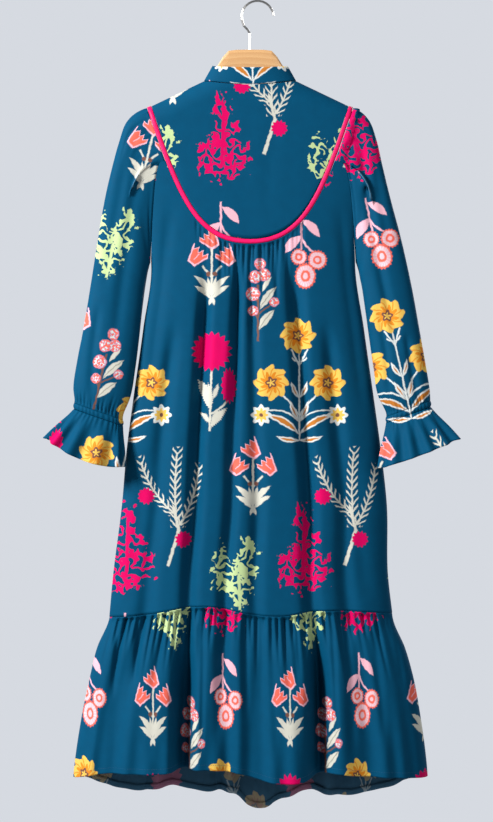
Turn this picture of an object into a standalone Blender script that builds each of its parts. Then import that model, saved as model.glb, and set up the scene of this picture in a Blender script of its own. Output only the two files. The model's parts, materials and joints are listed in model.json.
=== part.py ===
"""A long-sleeved midi dress with a piped yoke and a gathered hem tier, hanging on a wooden hanger.

Metres, +Z up. The origin is the inside of the hanger hook's top, where a rail would bear. The back of
the dress faces -Y. Drops are measured down from the origin, and widths across from the centre line.
"""

import math
from collections import namedtuple

import bmesh
import bpy
import numpy as np

NAME = "midi_dress"

# Cloth and seams
CENTRE_X = -0.012
WALL = 0.0016
SEAM_GAP = 0.0003
HALF_GAP = SEAM_GAP / 2
EDGE_STRIP = 0.0001  # a narrow first strip, so that a wall meets its neighbour squarely
SIDE_PLACES = (1.0, 0.9985, 0.965)  # columns close to a side seam
ROUNDNESS = 2.5  # power of the flattened sections of body and tier

# Shoulders and neck
SHOULDER_TIP = 0.1631
SHOULDER_TIP_DROP = 0.1708
NECK_HALF = 0.0755
NECK_STRIP = 0.0010
NECK_SIDE_DROP = 0.1290
NECK_BACK_DROP = 0.1369
NECK_FRONT_DROP = 0.1920
SHOULDER_ROUND = 0.035
SHOULDER_GAP = 0.0005
SHOULDER_SLOPE = (SHOULDER_TIP_DROP - NECK_SIDE_DROP) / (SHOULDER_TIP - NECK_HALF)

# Yoke and piping
YOKE_DEPTH = 0.2190
PIPING_WIDTH = 0.0075
PIPING_THICK = 0.0040
SLIT_WIDTH = 0.0030
SLIT_END_DROP = 0.3300

# Collar
COLLAR_COLUMNS = 28
COLLAR_TOP_HALF = 0.0616
COLLAR_TOP_DROP = 0.1037  # at the sides of the neck
COLLAR_BACK_DIP = 0.0048
COLLAR_FRONT_FALL = 0.93  # share of the neck's fall that its top edge follows at the front
COLLAR_FRONT_SHAPE = 1.4
COLLAR_LEAN = 0.12  # the top is shallower than the seam by this share
COLLAR_INSET = 0.0012
COLLAR_GAP = 0.0040
COLLAR_LIFT = 0.0011  # room for the yoke's edge, which tilts near the shoulders

# Rows of the walls, as shares of the way down
YOKE_ROWS = 6
YOKE_CROWDING = 1.7  # power that draws the yoke's rows up to the shoulders
ARMHOLE_ROWS = (0.0, 0.03, 0.08, 0.145, 0.195)
SKIRT_ROWS = (0.0, 0.20, 0.46, 0.73, 0.996, 1.0)  # from the underarm to the tier
TIER_ROWS = (0.0, 0.008, 0.07, 0.20, 0.42, 0.70, 1.0)

# Armhole and sleeve
UNDERARM_DROP = 0.4200
ARMHOLE_CURVE = 0.25
UNDERARM_EASE = 0.0008  # a little more room where the sleeve turns under the arm
INNER_FLAT = 0.0008
SEAM_STRIP = 0.004  # the sleeve lies level with the body this far from its seam
UNDERARM_REACH = 0.25  # share of a ring over which the sleeve turns under the arm
SLEEVE_GATHER_ROW = 0.003  # height of the gathers above the elastic
RING_SHARPNESS = 0.35  # power of the flattened sections of sleeves and cuffs

# Hanger
WIRE = 0.0038
HOOK_RADIUS = 0.0259
HOOK_TIP_ANGLE = 4
HOOK_END_ANGLE = 190
HOOK_TURNS = 14
STEM_X = -0.0131
STEM_IN_WOOD = 0.016
HOLE_SIDES = 12
ARM_HALF = 0.176
ARM_THICK = 0.0110
ARM_SIDES = 12
ARM_TAPER = 0.35  # share of the thickness lost at the arm's tip
ARM_TAPER_START = 0.130
ARM_FLATNESS = 0.45  # powers of the rounded section: the less, the flatter its sides
ARM_ROUNDNESS = 0.6

# The yoke's lower edge from shoulder tip to centre: share of half width and of depth.
EdgePoint = namedtuple("EdgePoint", "across down")
YOKE_EDGE = (
    EdgePoint(1.00, 0.00),
    EdgePoint(0.70, 0.68),
    EdgePoint(0.52, 1.00),
    EdgePoint(0.00, 1.00),
)
# Stations along half of that edge, close together where it rolls over the shoulder.
STATIONS = (0, 0.004, 0.012, 0.03, 0.07, 0.14, 0.22, 0.30, 0.38, 0.46, 0.55, 0.64, 0.73, 0.82, 0.91, 1)
SLEEVE_STATIONS = 6  # the sleeve is sewn to the piping from the tip to this station

# Body sections: where its rounded section ends left and right, and its half depth.
Section = namedtuple("Section", "drop left right depth")
BODY = (
    Section(0.090, 0.2150, 0.2150, 0.0200),
    Section(0.171, 0.2150, 0.2150, 0.0200),
    Section(0.264, 0.1900, 0.1920, 0.0210),
    Section(0.311, 0.1780, 0.1820, 0.0220),
    Section(0.380, 0.1660, 0.1715, 0.0240),
    Section(0.420, 0.1604, 0.1700, 0.0255),
    Section(0.531, 0.1733, 0.1847, 0.0290),
    Section(0.645, 0.1895, 0.2009, 0.0340),
    Section(0.726, 0.2000, 0.2120, 0.0370),
    Section(0.813, 0.2074, 0.2215, 0.0410),
    Section(0.930, 0.2220, 0.2236, 0.0460),
    Section(1.000, 0.2284, 0.2317, 0.0500),
)
TIER = (
    Section(0.960, 0.2250, 0.2290, 0.0490),
    Section(1.000, 0.2284, 0.2317, 0.0500),
    Section(1.046, 0.2479, 0.2510, 0.0560),
    Section(1.085, 0.2576, 0.2624, 0.0600),
    Section(1.163, 0.2738, 0.2770, 0.0660),
    Section(1.241, 0.2850, 0.2867, 0.0700),
    Section(1.320, 0.2900, 0.2900, 0.0720),
)

# Lower edges, from the left side seam (-1) to the right one (1).
Edge = namedtuple("Edge", "across drop")
TIER_SEAM_BACK = (
    Edge(-1.0, 0.9952), Edge(-0.78, 0.9906), Edge(-0.34, 0.9756), Edge(0.1, 0.9900),
    Edge(0.25, 0.9900), Edge(0.4, 0.9845), Edge(1.0, 0.9880),
)
TIER_SEAM_FRONT = (
    Edge(-1.0, 0.9952), Edge(-0.5, 0.9920), Edge(0.0, 1.0000), Edge(0.5, 0.9920), Edge(1.0, 0.9880),
)
HEM_BACK = (
    Edge(-1.0, 1.2532), Edge(-0.85, 1.2440), Edge(-0.49, 1.2400), Edge(-0.25, 1.2330),
    Edge(-0.08, 1.2380), Edge(0.12, 1.2530), Edge(0.30, 1.2525), Edge(0.44, 1.2400),
    Edge(0.60, 1.2442), Edge(1.0, 1.2520),
)
HEM_FRONT = (
    Edge(-1.0, 1.2532), Edge(-0.76, 1.2815), Edge(-0.63, 1.2880), Edge(-0.50, 1.2800),
    Edge(-0.24, 1.2920), Edge(-0.09, 1.2900), Edge(-0.01, 1.3150), Edge(0.08, 1.3190),
    Edge(0.20, 1.2980), Edge(0.40, 1.2880), Edge(0.53, 1.2965), Edge(0.74, 1.2835), Edge(1.0, 1.2520),
)

# Folds: place across at the top and the bottom, how deep, how wide to each side, where it starts and ends.
Fold = namedtuple("Fold", "top bottom depth width start end")
BODY_FOLDS_BACK = (
    Fold(-0.45, -0.44, 0.014, 0.050, 0.42, 1.02),
    Fold(-0.15, -0.19, 0.012, 0.045, 0.40, 1.02),
    Fold(-0.02, 0.03, 0.007, 0.050, 0.42, 0.80),
    Fold(0.37, 0.43, 0.014, 0.055, 0.40, 1.02),
    Fold(0.66, 0.68, 0.009, 0.060, 0.50, 1.02),
    Fold(-0.72, -0.74, 0.008, 0.060, 0.50, 1.02),
)
BODY_FOLDS_FRONT = (
    Fold(-0.55, -0.58, 0.012, 0.055, 0.42, 1.02),
    Fold(-0.20, -0.16, 0.010, 0.050, 0.40, 1.02),
    Fold(0.18, 0.12, 0.012, 0.050, 0.40, 1.02),
    Fold(0.50, 0.52, 0.013, 0.055, 0.42, 1.02),
)
TIER_FOLDS_BACK = (
    Fold(-0.44, -0.37, 0.050, 0.048, 0.98, 1.30),
    Fold(0.43, 0.37, 0.048, 0.052, 0.98, 1.30),
    Fold(-0.80, -0.80, 0.010, 0.060, 1.00, 1.30),
    Fold(-0.19, -0.12, 0.010, 0.060, 0.98, 1.30),
    Fold(0.03, 0.02, 0.012, 0.060, 1.00, 1.30),
    Fold(0.68, 0.64, 0.012, 0.060, 0.98, 1.30),
)
TIER_FOLDS_FRONT = (
    Fold(-0.58, -0.52, 0.030, 0.050, 0.98, 1.34),
    Fold(-0.16, -0.10, 0.040, 0.045, 0.98, 1.34),
    Fold(0.12, 0.24, 0.030, 0.050, 0.98, 1.34),
    Fold(0.52, 0.42, 0.036, 0.050, 0.98, 1.34),
    Fold(0.80, 0.78, 0.012, 0.060, 1.00, 1.34),
)

# Gathers
SIDE_CALM = 0.12  # folds fade out over this share of the width next to a side seam
FOLD_START = 0.10  # a fold grows to its full depth over this length
SEAM_BAND = 0.002  # nothing changes this close to the seam between body and tier
YOKE_GATHER_DEPTH = 0.0022
YOKE_GATHER_START = 0.012
YOKE_GATHER_FADE = 0.08
YOKE_GATHER_LENGTH = 0.11
YOKE_GATHER_REACH = 0.62  # share of the half width that is gathered
TIER_GATHERS = 34
TIER_EVENNESS = 0.45  # 1 spaces them evenly, less crowds them at the side seams
TIER_GATHER_DEPTH = 0.0040
TIER_GATHER_START = 0.02
TIER_GATHER_LENGTH = 0.12
TIER_FOLD_LENGTH = 0.16
HEM_WAVE_DEPTH = 0.0022
HEM_WAVE_LENGTH = 0.20
CUFF_GATHERS = 14
CUFF_GATHER_DEPTH = 0.0026
CUFF_STRIP = 0.0016  # the ruffle starts straight down from its band
RUFFLE_ROWS = (0.30, 0.65, 1.0)
RUFFLE_GROWTH = 0.5
RUFFLE_WAVE_DEPTH = 0.0055

# Sleeve rings below the armhole: outer and inner point, half depth, shift towards the back's viewer.
Ring = namedtuple("Ring", "outer outer_drop inner inner_drop depth forward follow")
SLEEVE_LEFT = (
    Ring(0.1860, 0.1790, 0.1622, 0.4235, 0.0180, 0.000, 0.75),
    Ring(0.2009, 0.1944, 0.1632, 0.4275, 0.0190, 0.000, 0.50),
    Ring(0.2122, 0.2268, 0.1642, 0.4315, 0.0200, 0.000, 0.25),
    Ring(0.2228, 0.2657, 0.1654, 0.4360, 0.0205, 0.000, 0.10),
    Ring(0.2341, 0.3143, 0.1672, 0.4460, 0.0210, 0.000, 0.00),
    Ring(0.2454, 0.3791, 0.1700, 0.4633, 0.0220, 0.000, 0.00),
    Ring(0.2576, 0.4568, 0.1745, 0.4990, 0.0225, 0.002, 0.00),
    Ring(0.2697, 0.5314, 0.1806, 0.5557, 0.0230, 0.005, 0.00),
    Ring(0.2790, 0.5800, 0.1855, 0.5950, 0.0230, 0.008, 0.00),
    Ring(0.2851, 0.6253, 0.1938, 0.6420, 0.0220, 0.012, 0.00),
)
SLEEVE_RIGHT = (
    Ring(0.1820, 0.1782, 0.1720, 0.4235, 0.0180, 0.000, 0.75),
    Ring(0.1944, 0.1928, 0.1732, 0.4275, 0.0190, 0.000, 0.50),
    Ring(0.2041, 0.2203, 0.1744, 0.4315, 0.0200, 0.000, 0.25),
    Ring(0.2138, 0.2624, 0.1758, 0.4360, 0.0205, 0.000, 0.10),
    Ring(0.2252, 0.3110, 0.1776, 0.4460, 0.0210, 0.002, 0.00),
    Ring(0.2430, 0.3791, 0.1810, 0.4633, 0.0220, 0.004, 0.00),
    Ring(0.2600, 0.4568, 0.1860, 0.4990, 0.0225, 0.008, 0.00),
    Ring(0.2730, 0.5314, 0.1935, 0.5557, 0.0230, 0.014, 0.00),
    Ring(0.2811, 0.5800, 0.1990, 0.5950, 0.0230, 0.020, 0.00),
    Ring(0.2884, 0.6286, 0.2070, 0.6420, 0.0220, 0.026, 0.00),
)
# Cuff: the ends of the elastic band's upper and lower edges and of the ruffle's hem.
Cuff = namedtuple("Cuff", "outer outer_drop inner inner_drop depth forward bow")
CUFF_LEFT = (
    Cuff(0.2835, 0.6496, 0.2052, 0.6770, 0.0190, 0.015, 0.000),
    Cuff(0.2835, 0.6593, 0.2052, 0.6867, 0.0190, 0.015, 0.000),
    Cuff(0.3289, 0.7047, 0.2035, 0.7520, 0.0270, 0.028, 0.013),
)
CUFF_RIGHT = (
    Cuff(0.2892, 0.6464, 0.2187, 0.6715, 0.0190, 0.029, 0.000),
    Cuff(0.2892, 0.6561, 0.2187, 0.6812, 0.0190, 0.029, 0.000),
    Cuff(0.3321, 0.7063, 0.2060, 0.7533, 0.0260, 0.052, 0.003),
)

# Hanger outline: top and bottom edges of the wood.
WoodPoint = namedtuple("WoodPoint", "across top bottom")
WOOD_HEAD = (
    WoodPoint(0.0000, 0.0772, 0.1280),
    WoodPoint(0.0220, 0.0774, 0.1370),
    WoodPoint(0.0350, 0.0790, 0.1420),
    WoodPoint(0.0440, 0.0890, 0.1460),
    WoodPoint(0.0530, 0.1037, 0.1500),
    WoodPoint(0.0580, 0.1180, 0.1515),
    WoodPoint(0.0625, 0.1310, 0.1540),
    WoodPoint(0.0680, 0.1430, 0.1570),
    WoodPoint(0.0800, 0.1440, 0.1610),
)
ARM_STEPS = 6
ARM_SINK = 0.0030  # how far the arm's top lies below the cloth's outer face at the neck
ARM_SINK_TIP = 0.0054
ARM_DEPTH_TIP = 0.0140
# The wire between the hook's round part and its upright stem.
WirePoint = namedtuple("WirePoint", "x z")
HOOK_BEND = (
    WirePoint(-0.0222, -0.0385),
    WirePoint(-0.0160, -0.0450),
    WirePoint(-0.0125, -0.0510),
    WirePoint(STEM_X, -0.0585),
)

# Material looks: base colour, roughness, metallic.
Look = namedtuple("Look", "colour roughness metallic")
TEAL = Look((0.0110, 0.0740, 0.1620, 1), 0.62, 0.0)
PINK = Look((0.8600, 0.0040, 0.1300, 1), 0.50, 0.0)
WOOD = Look((0.6000, 0.4200, 0.2600, 1), 0.50, 0.0)
NICKEL = Look((0.6200, 0.6000, 0.5800, 1), 0.25, 1.0)


def read(rows, column, at, key="drop"):
    """One column of a table at any place between its rows, with smooth slopes."""
    keys = np.array([getattr(row, key) for row in rows])
    values = np.array([getattr(row, column) for row in rows])
    slopes = np.gradient(values, keys)
    at = np.clip(np.asarray(at, float), keys[0], keys[-1])
    i = np.clip(np.searchsorted(keys, at) - 1, 0, len(keys) - 2)
    step = keys[i + 1] - keys[i]
    q = (at - keys[i]) / step
    start = values[i] * (1 + 2 * q) * (1 - q) ** 2 + slopes[i] * step * q * (1 - q) ** 2
    end = values[i + 1] * q * q * (3 - 2 * q) + slopes[i + 1] * step * q * q * (q - 1)
    return start + end


def rise(value):
    """Smooth 0 to 1."""
    q = np.clip(value, 0.0, 1.0)
    return q * q * (3 - 2 * q)


def shoulder_drop(x):
    """Drop of the shoulder line, carried on above the neck."""
    return SHOULDER_TIP_DROP - SHOULDER_SLOPE * (SHOULDER_TIP - np.abs(x))


def neck_drop(x, side):
    """Drop of the neck seam, and of the shoulder line past it."""
    q = np.clip(1 - (x / NECK_HALF) ** 2, 0.0, 1.0)
    if side < 0:
        neck = NECK_SIDE_DROP + (NECK_BACK_DROP - NECK_SIDE_DROP) * q
    else:
        neck = NECK_SIDE_DROP + (NECK_FRONT_DROP - NECK_SIDE_DROP) * q**0.6
    return np.where(np.abs(x) < NECK_HALF, neck, shoulder_drop(x))


def section_depth(rows, x, drop):
    """Half depth of a flattened section at a place."""
    left = read(rows, "left", drop)
    right = read(rows, "right", drop)
    across = np.clip(np.abs((2 * x + left - right) / (left + right)), 0.0, 1.0)
    return read(rows, "depth", drop) * (1 - across**ROUNDNESS) ** (1 / ROUNDNESS)


def torso_depth(x, drop):
    """Half depth of yoke and body, rolling over the hanger at the shoulder line."""
    below = np.clip((drop - shoulder_drop(x)) / SHOULDER_ROUND, 0.0, 1.0)
    return section_depth(BODY, x, drop) * np.sqrt(1 - (1 - below) ** 2)


def yoke_edge(t, side, offset=0.0):
    """A point on the yoke's lower edge: x and drop. The offset moves it off the yoke."""
    across = np.array([p.across for p in YOKE_EDGE]) * SHOULDER_TIP
    down = np.array([p.down for p in YOKE_EDGE]) * YOKE_DEPTH
    weights = np.array([(1 - t) ** 3, 3 * (1 - t) ** 2 * t, 3 * (1 - t) * t**2, t**3])
    rates = np.array([-3 * (1 - t) ** 2, 3 * (1 - t) * (1 - 3 * t), 3 * t * (2 - 3 * t), 3 * t**2])
    dx, dz = rates @ across, rates @ down
    length = math.hypot(dx, dz)
    x = weights @ across + offset * dz / length
    return side * x, SHOULDER_TIP_DROP + weights @ down - offset * dx / length


def full_edge(offset=0.0):
    """The whole lower edge of the yoke from the left tip to the right tip."""
    left = [yoke_edge(t, -1, offset) for t in STATIONS]
    right = [yoke_edge(t, 1, offset) for t in reversed(STATIONS[:-1])]
    return np.array(left + right)


def fold_push(folds, across, drop):
    """How far the folds draw the cloth inwards."""
    total = np.zeros(np.broadcast(across, drop).shape)
    for fold in folds:
        q = np.clip((drop - fold.start) / (fold.end - fold.start), 0.0, 1.0)
        place = fold.top + (fold.bottom - fold.top) * q
        fade = rise((drop - fold.start) / FOLD_START)
        total = total + fold.depth * fade * np.exp(-(((across - place) / fold.width) ** 2))
    return total


def placed(x, y, drop):
    """World points of widths from the centre line, depths and drops."""
    return np.stack(np.broadcast_arrays(CENTRE_X + x, y, -np.asarray(drop)), axis=-1)


def material(name, look):
    made = bpy.data.materials.new(name)
    made.use_nodes = True
    made.diffuse_color = look.colour
    shader = made.node_tree.nodes["Principled BSDF"]
    shader.inputs["Base Color"].default_value = look.colour
    shader.inputs["Roughness"].default_value = look.roughness
    shader.inputs["Metallic"].default_value = look.metallic
    return made


def new_object(name, mesh, look):
    obj = bpy.data.objects.new(name, mesh)
    mesh.materials.append(material(name, look))
    bpy.data.collections[NAME].objects.link(obj)
    return obj


def grid_mesh(name, points, closed=False, flip=False, skip=None):
    """Faces between the points of a grid. A closed grid joins its last column to its first."""
    rows, columns = points.shape[:2]
    mesh = bmesh.new()
    verts = [[mesh.verts.new(p) for p in row] for row in points.tolist()]
    for i in range(rows - 1):
        for j in range(columns if closed else columns - 1):
            if skip and skip(i, j):
                continue
            k = (j + 1) % columns
            corners = [verts[i][j], verts[i + 1][j], verts[i + 1][k], verts[i][k]]
            mesh.faces.new(reversed(corners) if flip else corners)
    data = bpy.data.meshes.new(name)
    mesh.to_mesh(data)
    mesh.free()
    data.shade_smooth()
    return data


def cloth(name, points, look=TEAL, **grid):
    """A wall of cloth whose outer face is the grid."""
    obj = new_object(name, grid_mesh(name, points, **grid), look)
    wall = obj.modifiers.new("Wall", "SOLIDIFY")
    wall.thickness = WALL
    wall.offset = -1
    return obj


def yoke_columns(side):
    """Places and drops of the yoke's upper edge and of its lower edge. The front has its slit."""
    low = full_edge(-(PIPING_WIDTH / 2 + SEAM_GAP))[2:-2]
    x, drops = low[:, 0], low[:, 1]
    if side > 0:
        middle = len(x) // 2
        x = np.concatenate([x[:middle], (-SLIT_WIDTH / 2, SLIT_WIDTH / 2), x[middle + 1 :]])
        drops = np.insert(drops, middle, drops[middle])
    top_x = x.copy()
    for neck_side in (-NECK_HALF, NECK_HALF):
        top_x[np.argmin(np.abs(x - neck_side))] = neck_side
    return top_x, neck_drop(top_x, side), x, drops


def make_yoke(name, side):
    top_x, top, low_x, low = yoke_columns(side)
    shares = (np.arange(YOKE_ROWS + 1) / YOKE_ROWS)[:, None] ** YOKE_CROWDING
    x = top_x + (low_x - top_x) * shares
    drop = top + (low - top) * shares
    strip = np.where(np.abs(top_x) < NECK_HALF - NECK_STRIP, NECK_STRIP, EDGE_STRIP)
    x = np.concatenate([x[:1], x[:1], x[1:]])
    drop = np.concatenate([drop[:1], drop[:1] + strip, drop[1:]])
    y = side * (torso_depth(x, drop) + SHOULDER_GAP)
    slit_column = len(low_x) // 2 - 1

    def in_slit(i, j):
        return side > 0 and j == slit_column and drop[i + 1, j] < SLIT_END_DROP

    cloth(name, placed(x, y, drop), flip=side > 0, skip=in_slit)


def make_piping(name, side):
    """A flat oval cord along the yoke's lower edge."""
    edge = full_edge()
    x, drop = edge[:, 0], edge[:, 1]
    depth = torso_depth(x, drop)
    line = placed(x, side * (depth + HALF_GAP), drop)
    step = 0.0005
    along = np.gradient(line, axis=0)
    along[0] = (0, side, 0)
    along[-1] = (0, -side, 0)
    slope_x = (torso_depth(x + step, drop) - torso_depth(x - step, drop)) / (2 * step)
    slope_z = (torso_depth(x, drop - step) - torso_depth(x, drop + step)) / (2 * step)
    normal = np.stack([-slope_x, np.full_like(x, side), -slope_z], axis=-1)
    normal[0] = normal[-1] = (0, 0, 1)
    along /= np.linalg.norm(along, axis=1, keepdims=True)
    normal -= along * np.sum(along * normal, axis=1, keepdims=True)
    normal /= np.linalg.norm(normal, axis=1, keepdims=True)
    sideways = np.cross(along, normal)
    sides = 8
    points = []
    for k in range(sides):
        angle = 2 * math.pi * k / sides
        out = PIPING_THICK / 2 * math.sin(angle) - WALL / 2
        points.append(line + sideways * (PIPING_WIDTH / 2 * math.cos(angle)) + normal * out)
    tube = np.stack(points, axis=1)
    mesh = grid_mesh(name, tube, closed=True)
    close_ends(mesh, len(line), sides)
    new_object(name, mesh, PINK)


def close_ends(data, rows, sides):
    """Caps on both ends of a tube, with every face turned outwards."""
    mesh = bmesh.new()
    mesh.from_mesh(data)
    mesh.verts.ensure_lookup_table()
    mesh.faces.new(mesh.verts[:sides])
    mesh.faces.new(mesh.verts[(rows - 1) * sides :])
    bmesh.ops.recalc_face_normals(mesh, faces=mesh.faces)
    mesh.to_mesh(data)
    mesh.free()


def make_collar():
    """A stand collar round the neck, open at the centre front."""
    start = math.asin(COLLAR_GAP / 2 / NECK_HALF)
    around = np.linspace(start - math.pi, math.pi - start, COLLAR_COLUMNS + 1)
    x = np.sin(around) * (NECK_HALF - COLLAR_INSET)
    side = np.where(np.cos(around) > 0, -1.0, 1.0)
    seams = [np.interp(x, *yoke_columns(face)[:2]) for face in (-1, 1)]
    seam = np.where(side < 0, *seams)
    base = seam - COLLAR_LIFT
    forward = np.clip(-np.cos(around), 0, 1) ** COLLAR_FRONT_SHAPE
    front_fall = (NECK_FRONT_DROP - NECK_SIDE_DROP) * COLLAR_FRONT_FALL * forward
    top = COLLAR_TOP_DROP + COLLAR_BACK_DIP * np.clip(np.cos(around), 0, 1) + front_fall
    rows = []
    for q in (0.0, 0.5, 1.0):
        width = 1 + (COLLAR_TOP_HALF / NECK_HALF - 1) * q
        y = side * torso_depth(x, seam) * (1 - COLLAR_LEAN * q)
        rows.append(placed(x * width, y, base + (top - base) * q))
    cloth("collar_band", np.array(rows), flip=True)


def body_edges(drop):
    """Left and right edges of the body: armhole seams down to the underarm, then side seams."""
    edge = full_edge(PIPING_WIDTH / 2 + SEAM_GAP)
    corner_x, corner_drop = edge[SLEEVE_STATIONS]
    q = np.clip((drop - corner_drop) / (UNDERARM_DROP - corner_drop), 0.0, 1.0) ** ARMHOLE_CURVE
    sides = []
    for column in ("left", "right"):
        low = read(BODY, column, UNDERARM_DROP)
        armhole = -corner_x + (low + corner_x) * q
        sides.append(np.where(drop < UNDERARM_DROP, armhole, read(BODY, column, drop)))
    return sides


def across_at(x, top):
    """Share of the body's width of a place on its top edge."""
    left, right = body_edges(np.interp(x, top[:, 0], top[:, 1]))
    return (2 * x + left - right) / (left + right)


def top_drops(across, top):
    """Drops at which lines of even share meet the body's top edge, found by halving."""
    high = np.full(len(across), top[:, 1].min())
    low = np.full(len(across), top[:, 1].max())
    for _ in range(40):
        middle = (high + low) / 2
        left, right = body_edges(middle)
        x = (right - left) / 2 + across * (left + right) / 2
        above = middle < np.interp(x, top[:, 0], top[:, 1])
        high = np.where(above, middle, high)
        low = np.where(above, low, middle)
    return (high + low) / 2


def body_rows():
    """Shares of the way down from the yoke, with the underarm at a row of its own."""
    corner_drop = full_edge(PIPING_WIDTH / 2 + SEAM_GAP)[SLEEVE_STATIONS, 1]
    underarm = (UNDERARM_DROP - corner_drop) / (TIER_SEAM_BACK[0].drop - corner_drop)
    lower = underarm + (1 - underarm) * np.array(SKIRT_ROWS)
    return np.concatenate([ARMHOLE_ROWS, lower])


def make_body(name, side, folds, seam):
    edge = full_edge(PIPING_WIDTH / 2 + SEAM_GAP)
    top = edge[SLEEVE_STATIONS : len(edge) - SLEEVE_STATIONS]
    places = np.linspace(0, len(top) - 1, 2 * (len(top) - 1) + 1)[1:-1]
    across = across_at(np.interp(places, np.arange(len(top)), top[:, 0]), top)
    across = across[np.abs(across) < SIDE_PLACES[-1] - (1 - SIDE_PLACES[-1]) / 2]
    waves = np.cos(np.pi * np.arange(len(across)))
    ends = np.array(SIDE_PLACES)
    across = np.concatenate([-ends, across, ends[::-1]])
    waves = np.pad(waves, len(ends))
    top_drop = top_drops(across, top)
    bottom = read(seam, "drop", across, key="across") - HALF_GAP
    shares = body_rows()[:, None]
    drop = top_drop + (bottom - top_drop) * shares
    left, right = body_edges(drop)
    x = (right - left) / 2 + across * (left + right) / 2
    y = torso_depth(x, drop) + SEAM_GAP
    calm = np.clip((1 - np.abs(across)) / SIDE_CALM, 0.0, 1.0)
    steady = np.minimum(drop, bottom - SEAM_BAND)
    y = y - fold_push(folds, across, steady) * calm
    below = drop - top_drop
    strength = rise(below / YOKE_GATHER_START) * (1 - rise(below / YOKE_GATHER_LENGTH))
    strength = strength * rise((YOKE_GATHER_REACH - np.abs(across)) / YOKE_GATHER_FADE)
    y = y + YOKE_GATHER_DEPTH / 2 * waves * strength
    cloth(name, placed(x, side * y, drop), flip=side > 0)


def make_tier(name, side, folds, body_folds, seam, hem):
    columns = 2 * TIER_GATHERS
    u = np.linspace(-1, 1, columns + 1)
    across = TIER_EVENNESS * u + (1 - TIER_EVENNESS) * np.sin(u * math.pi / 2)
    across = np.insert(across, (1, columns), (-SIDE_PLACES[1], SIDE_PLACES[1]))
    waves = np.insert(np.cos(np.pi * np.arange(columns + 1)), (1, columns), 0.0)
    top = read(seam, "drop", across, key="across") + HALF_GAP
    bottom = read(hem, "drop", across, key="across")
    shares = np.array(TIER_ROWS)[:, None]
    drop = top + (bottom - top) * shares
    left = read(TIER, "left", drop)
    right = read(TIER, "right", drop)
    x = (right - left) / 2 + across * (left + right) / 2
    y = section_depth(TIER, x, drop) + SEAM_GAP
    calm = np.clip((1 - np.abs(across)) / SIDE_CALM, 0.0, 1.0)
    steady = np.maximum(drop, top + SEAM_BAND)
    below = steady - top - SEAM_BAND
    grown = rise(below / TIER_FOLD_LENGTH)
    seam_push = fold_push(body_folds, across, top - SEAM_BAND) * (1 - grown)
    y = y - (seam_push + fold_push(folds, across, steady) * grown) * calm
    swell = rise(below / TIER_GATHER_START) * (1 - rise(below / TIER_GATHER_LENGTH))
    size = TIER_GATHER_DEPTH / 2 * swell + HEM_WAVE_DEPTH / 2 * rise(below / HEM_WAVE_LENGTH)
    push = size * waves * calm
    facing = np.sqrt(np.clip(1 - across**2, 0, 1))
    cloth(name, placed(x + push * across, side * (y + push * facing), drop), flip=side > 0)


def armhole_ring(side_x):
    """The armhole seam from the shoulder tip down the back to the underarm: x, half depth, drop."""
    edge = full_edge(PIPING_WIDTH / 2 + SEAM_GAP)[: SLEEVE_STATIONS + 1]
    corner_drop = edge[-1, 1]
    side_seam = TIER_SEAM_BACK[0 if side_x < 0 else -1].drop - corner_drop
    shares = body_rows()[1 : len(ARMHOLE_ROWS) + 1]
    drops = np.concatenate([edge[:, 1], corner_drop + side_seam * shares])
    lower = body_edges(drops[len(edge) :])[0 if side_x < 0 else 1]
    x = np.concatenate([-edge[:, 0], lower])
    depth = torso_depth(side_x * x, drops)
    return x, depth, drops


def sleeve_ring(ring, shares):
    """A flattened ring between an outer and an inner point."""
    bow = getattr(ring, "bow", 0.0)
    x = ring.inner + (ring.outer - ring.inner) * shares
    drop = ring.inner_drop + (ring.outer_drop - ring.inner_drop) * shares
    drop = drop + bow * 4 * shares * (1 - shares)
    depth = ring.depth * np.clip(4 * shares * (1 - shares), 0, 1) ** RING_SHARPNESS
    return x, depth, drop


def closed_ring(x, depth, drop, side_x, forward):
    """The points of a ring all round, from half of it. Its inner end is a narrow flat."""
    depth = np.append(depth[:-1], depth[-1] + INNER_FLAT)
    back = placed(side_x * x, -depth - forward, drop)
    front = placed(side_x * x, depth - forward, drop)
    return np.concatenate([back, front[:0:-1]])


def make_sleeve(side_name, side_x, rings, cuff):
    seam_x, seam_depth, seam_drop = armhole_ring(side_x)
    shares = (seam_drop[-1] - seam_drop) / (seam_drop[-1] - seam_drop[0])
    points = []
    for reach in (0.0, SEAM_STRIP):
        ease = UNDERARM_EASE * (1 - rise(shares / 2 / UNDERARM_REACH))
        move = SEAM_GAP + ease + reach * rise(shares / UNDERARM_REACH)
        lower = reach / 2 * (1 - rise(shares / UNDERARM_REACH))
        points.append(closed_ring(seam_x + move, seam_depth, seam_drop + lower, side_x, 0.0))
    for ring in rings:
        x, depth, drop = sleeve_ring(ring, shares)
        bulge = seam_x - (seam_x[-1] + (seam_x[0] - seam_x[-1]) * shares)
        x = x + ring.follow * bulge
        depth = depth + ring.follow * (seam_depth - depth)
        points.append(closed_ring(x, depth, drop, side_x, ring.forward))
    x, depth, drop = sleeve_ring(cuff[0], shares)
    points.append(closed_ring(x, depth, drop - SLEEVE_GATHER_ROW, side_x, cuff[0].forward))
    points.append(closed_ring(x, depth, drop - HALF_GAP, side_x, cuff[0].forward))
    points = np.array(points)
    count = points.shape[1]
    waves = np.cos(np.pi * np.arange(count))
    points[-3] += outward(points[-3]) * (CUFF_GATHER_DEPTH / 2 * waves)[:, None]
    cloth(f"sleeve_{side_name}", points, closed=True, flip=side_x > 0)


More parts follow.
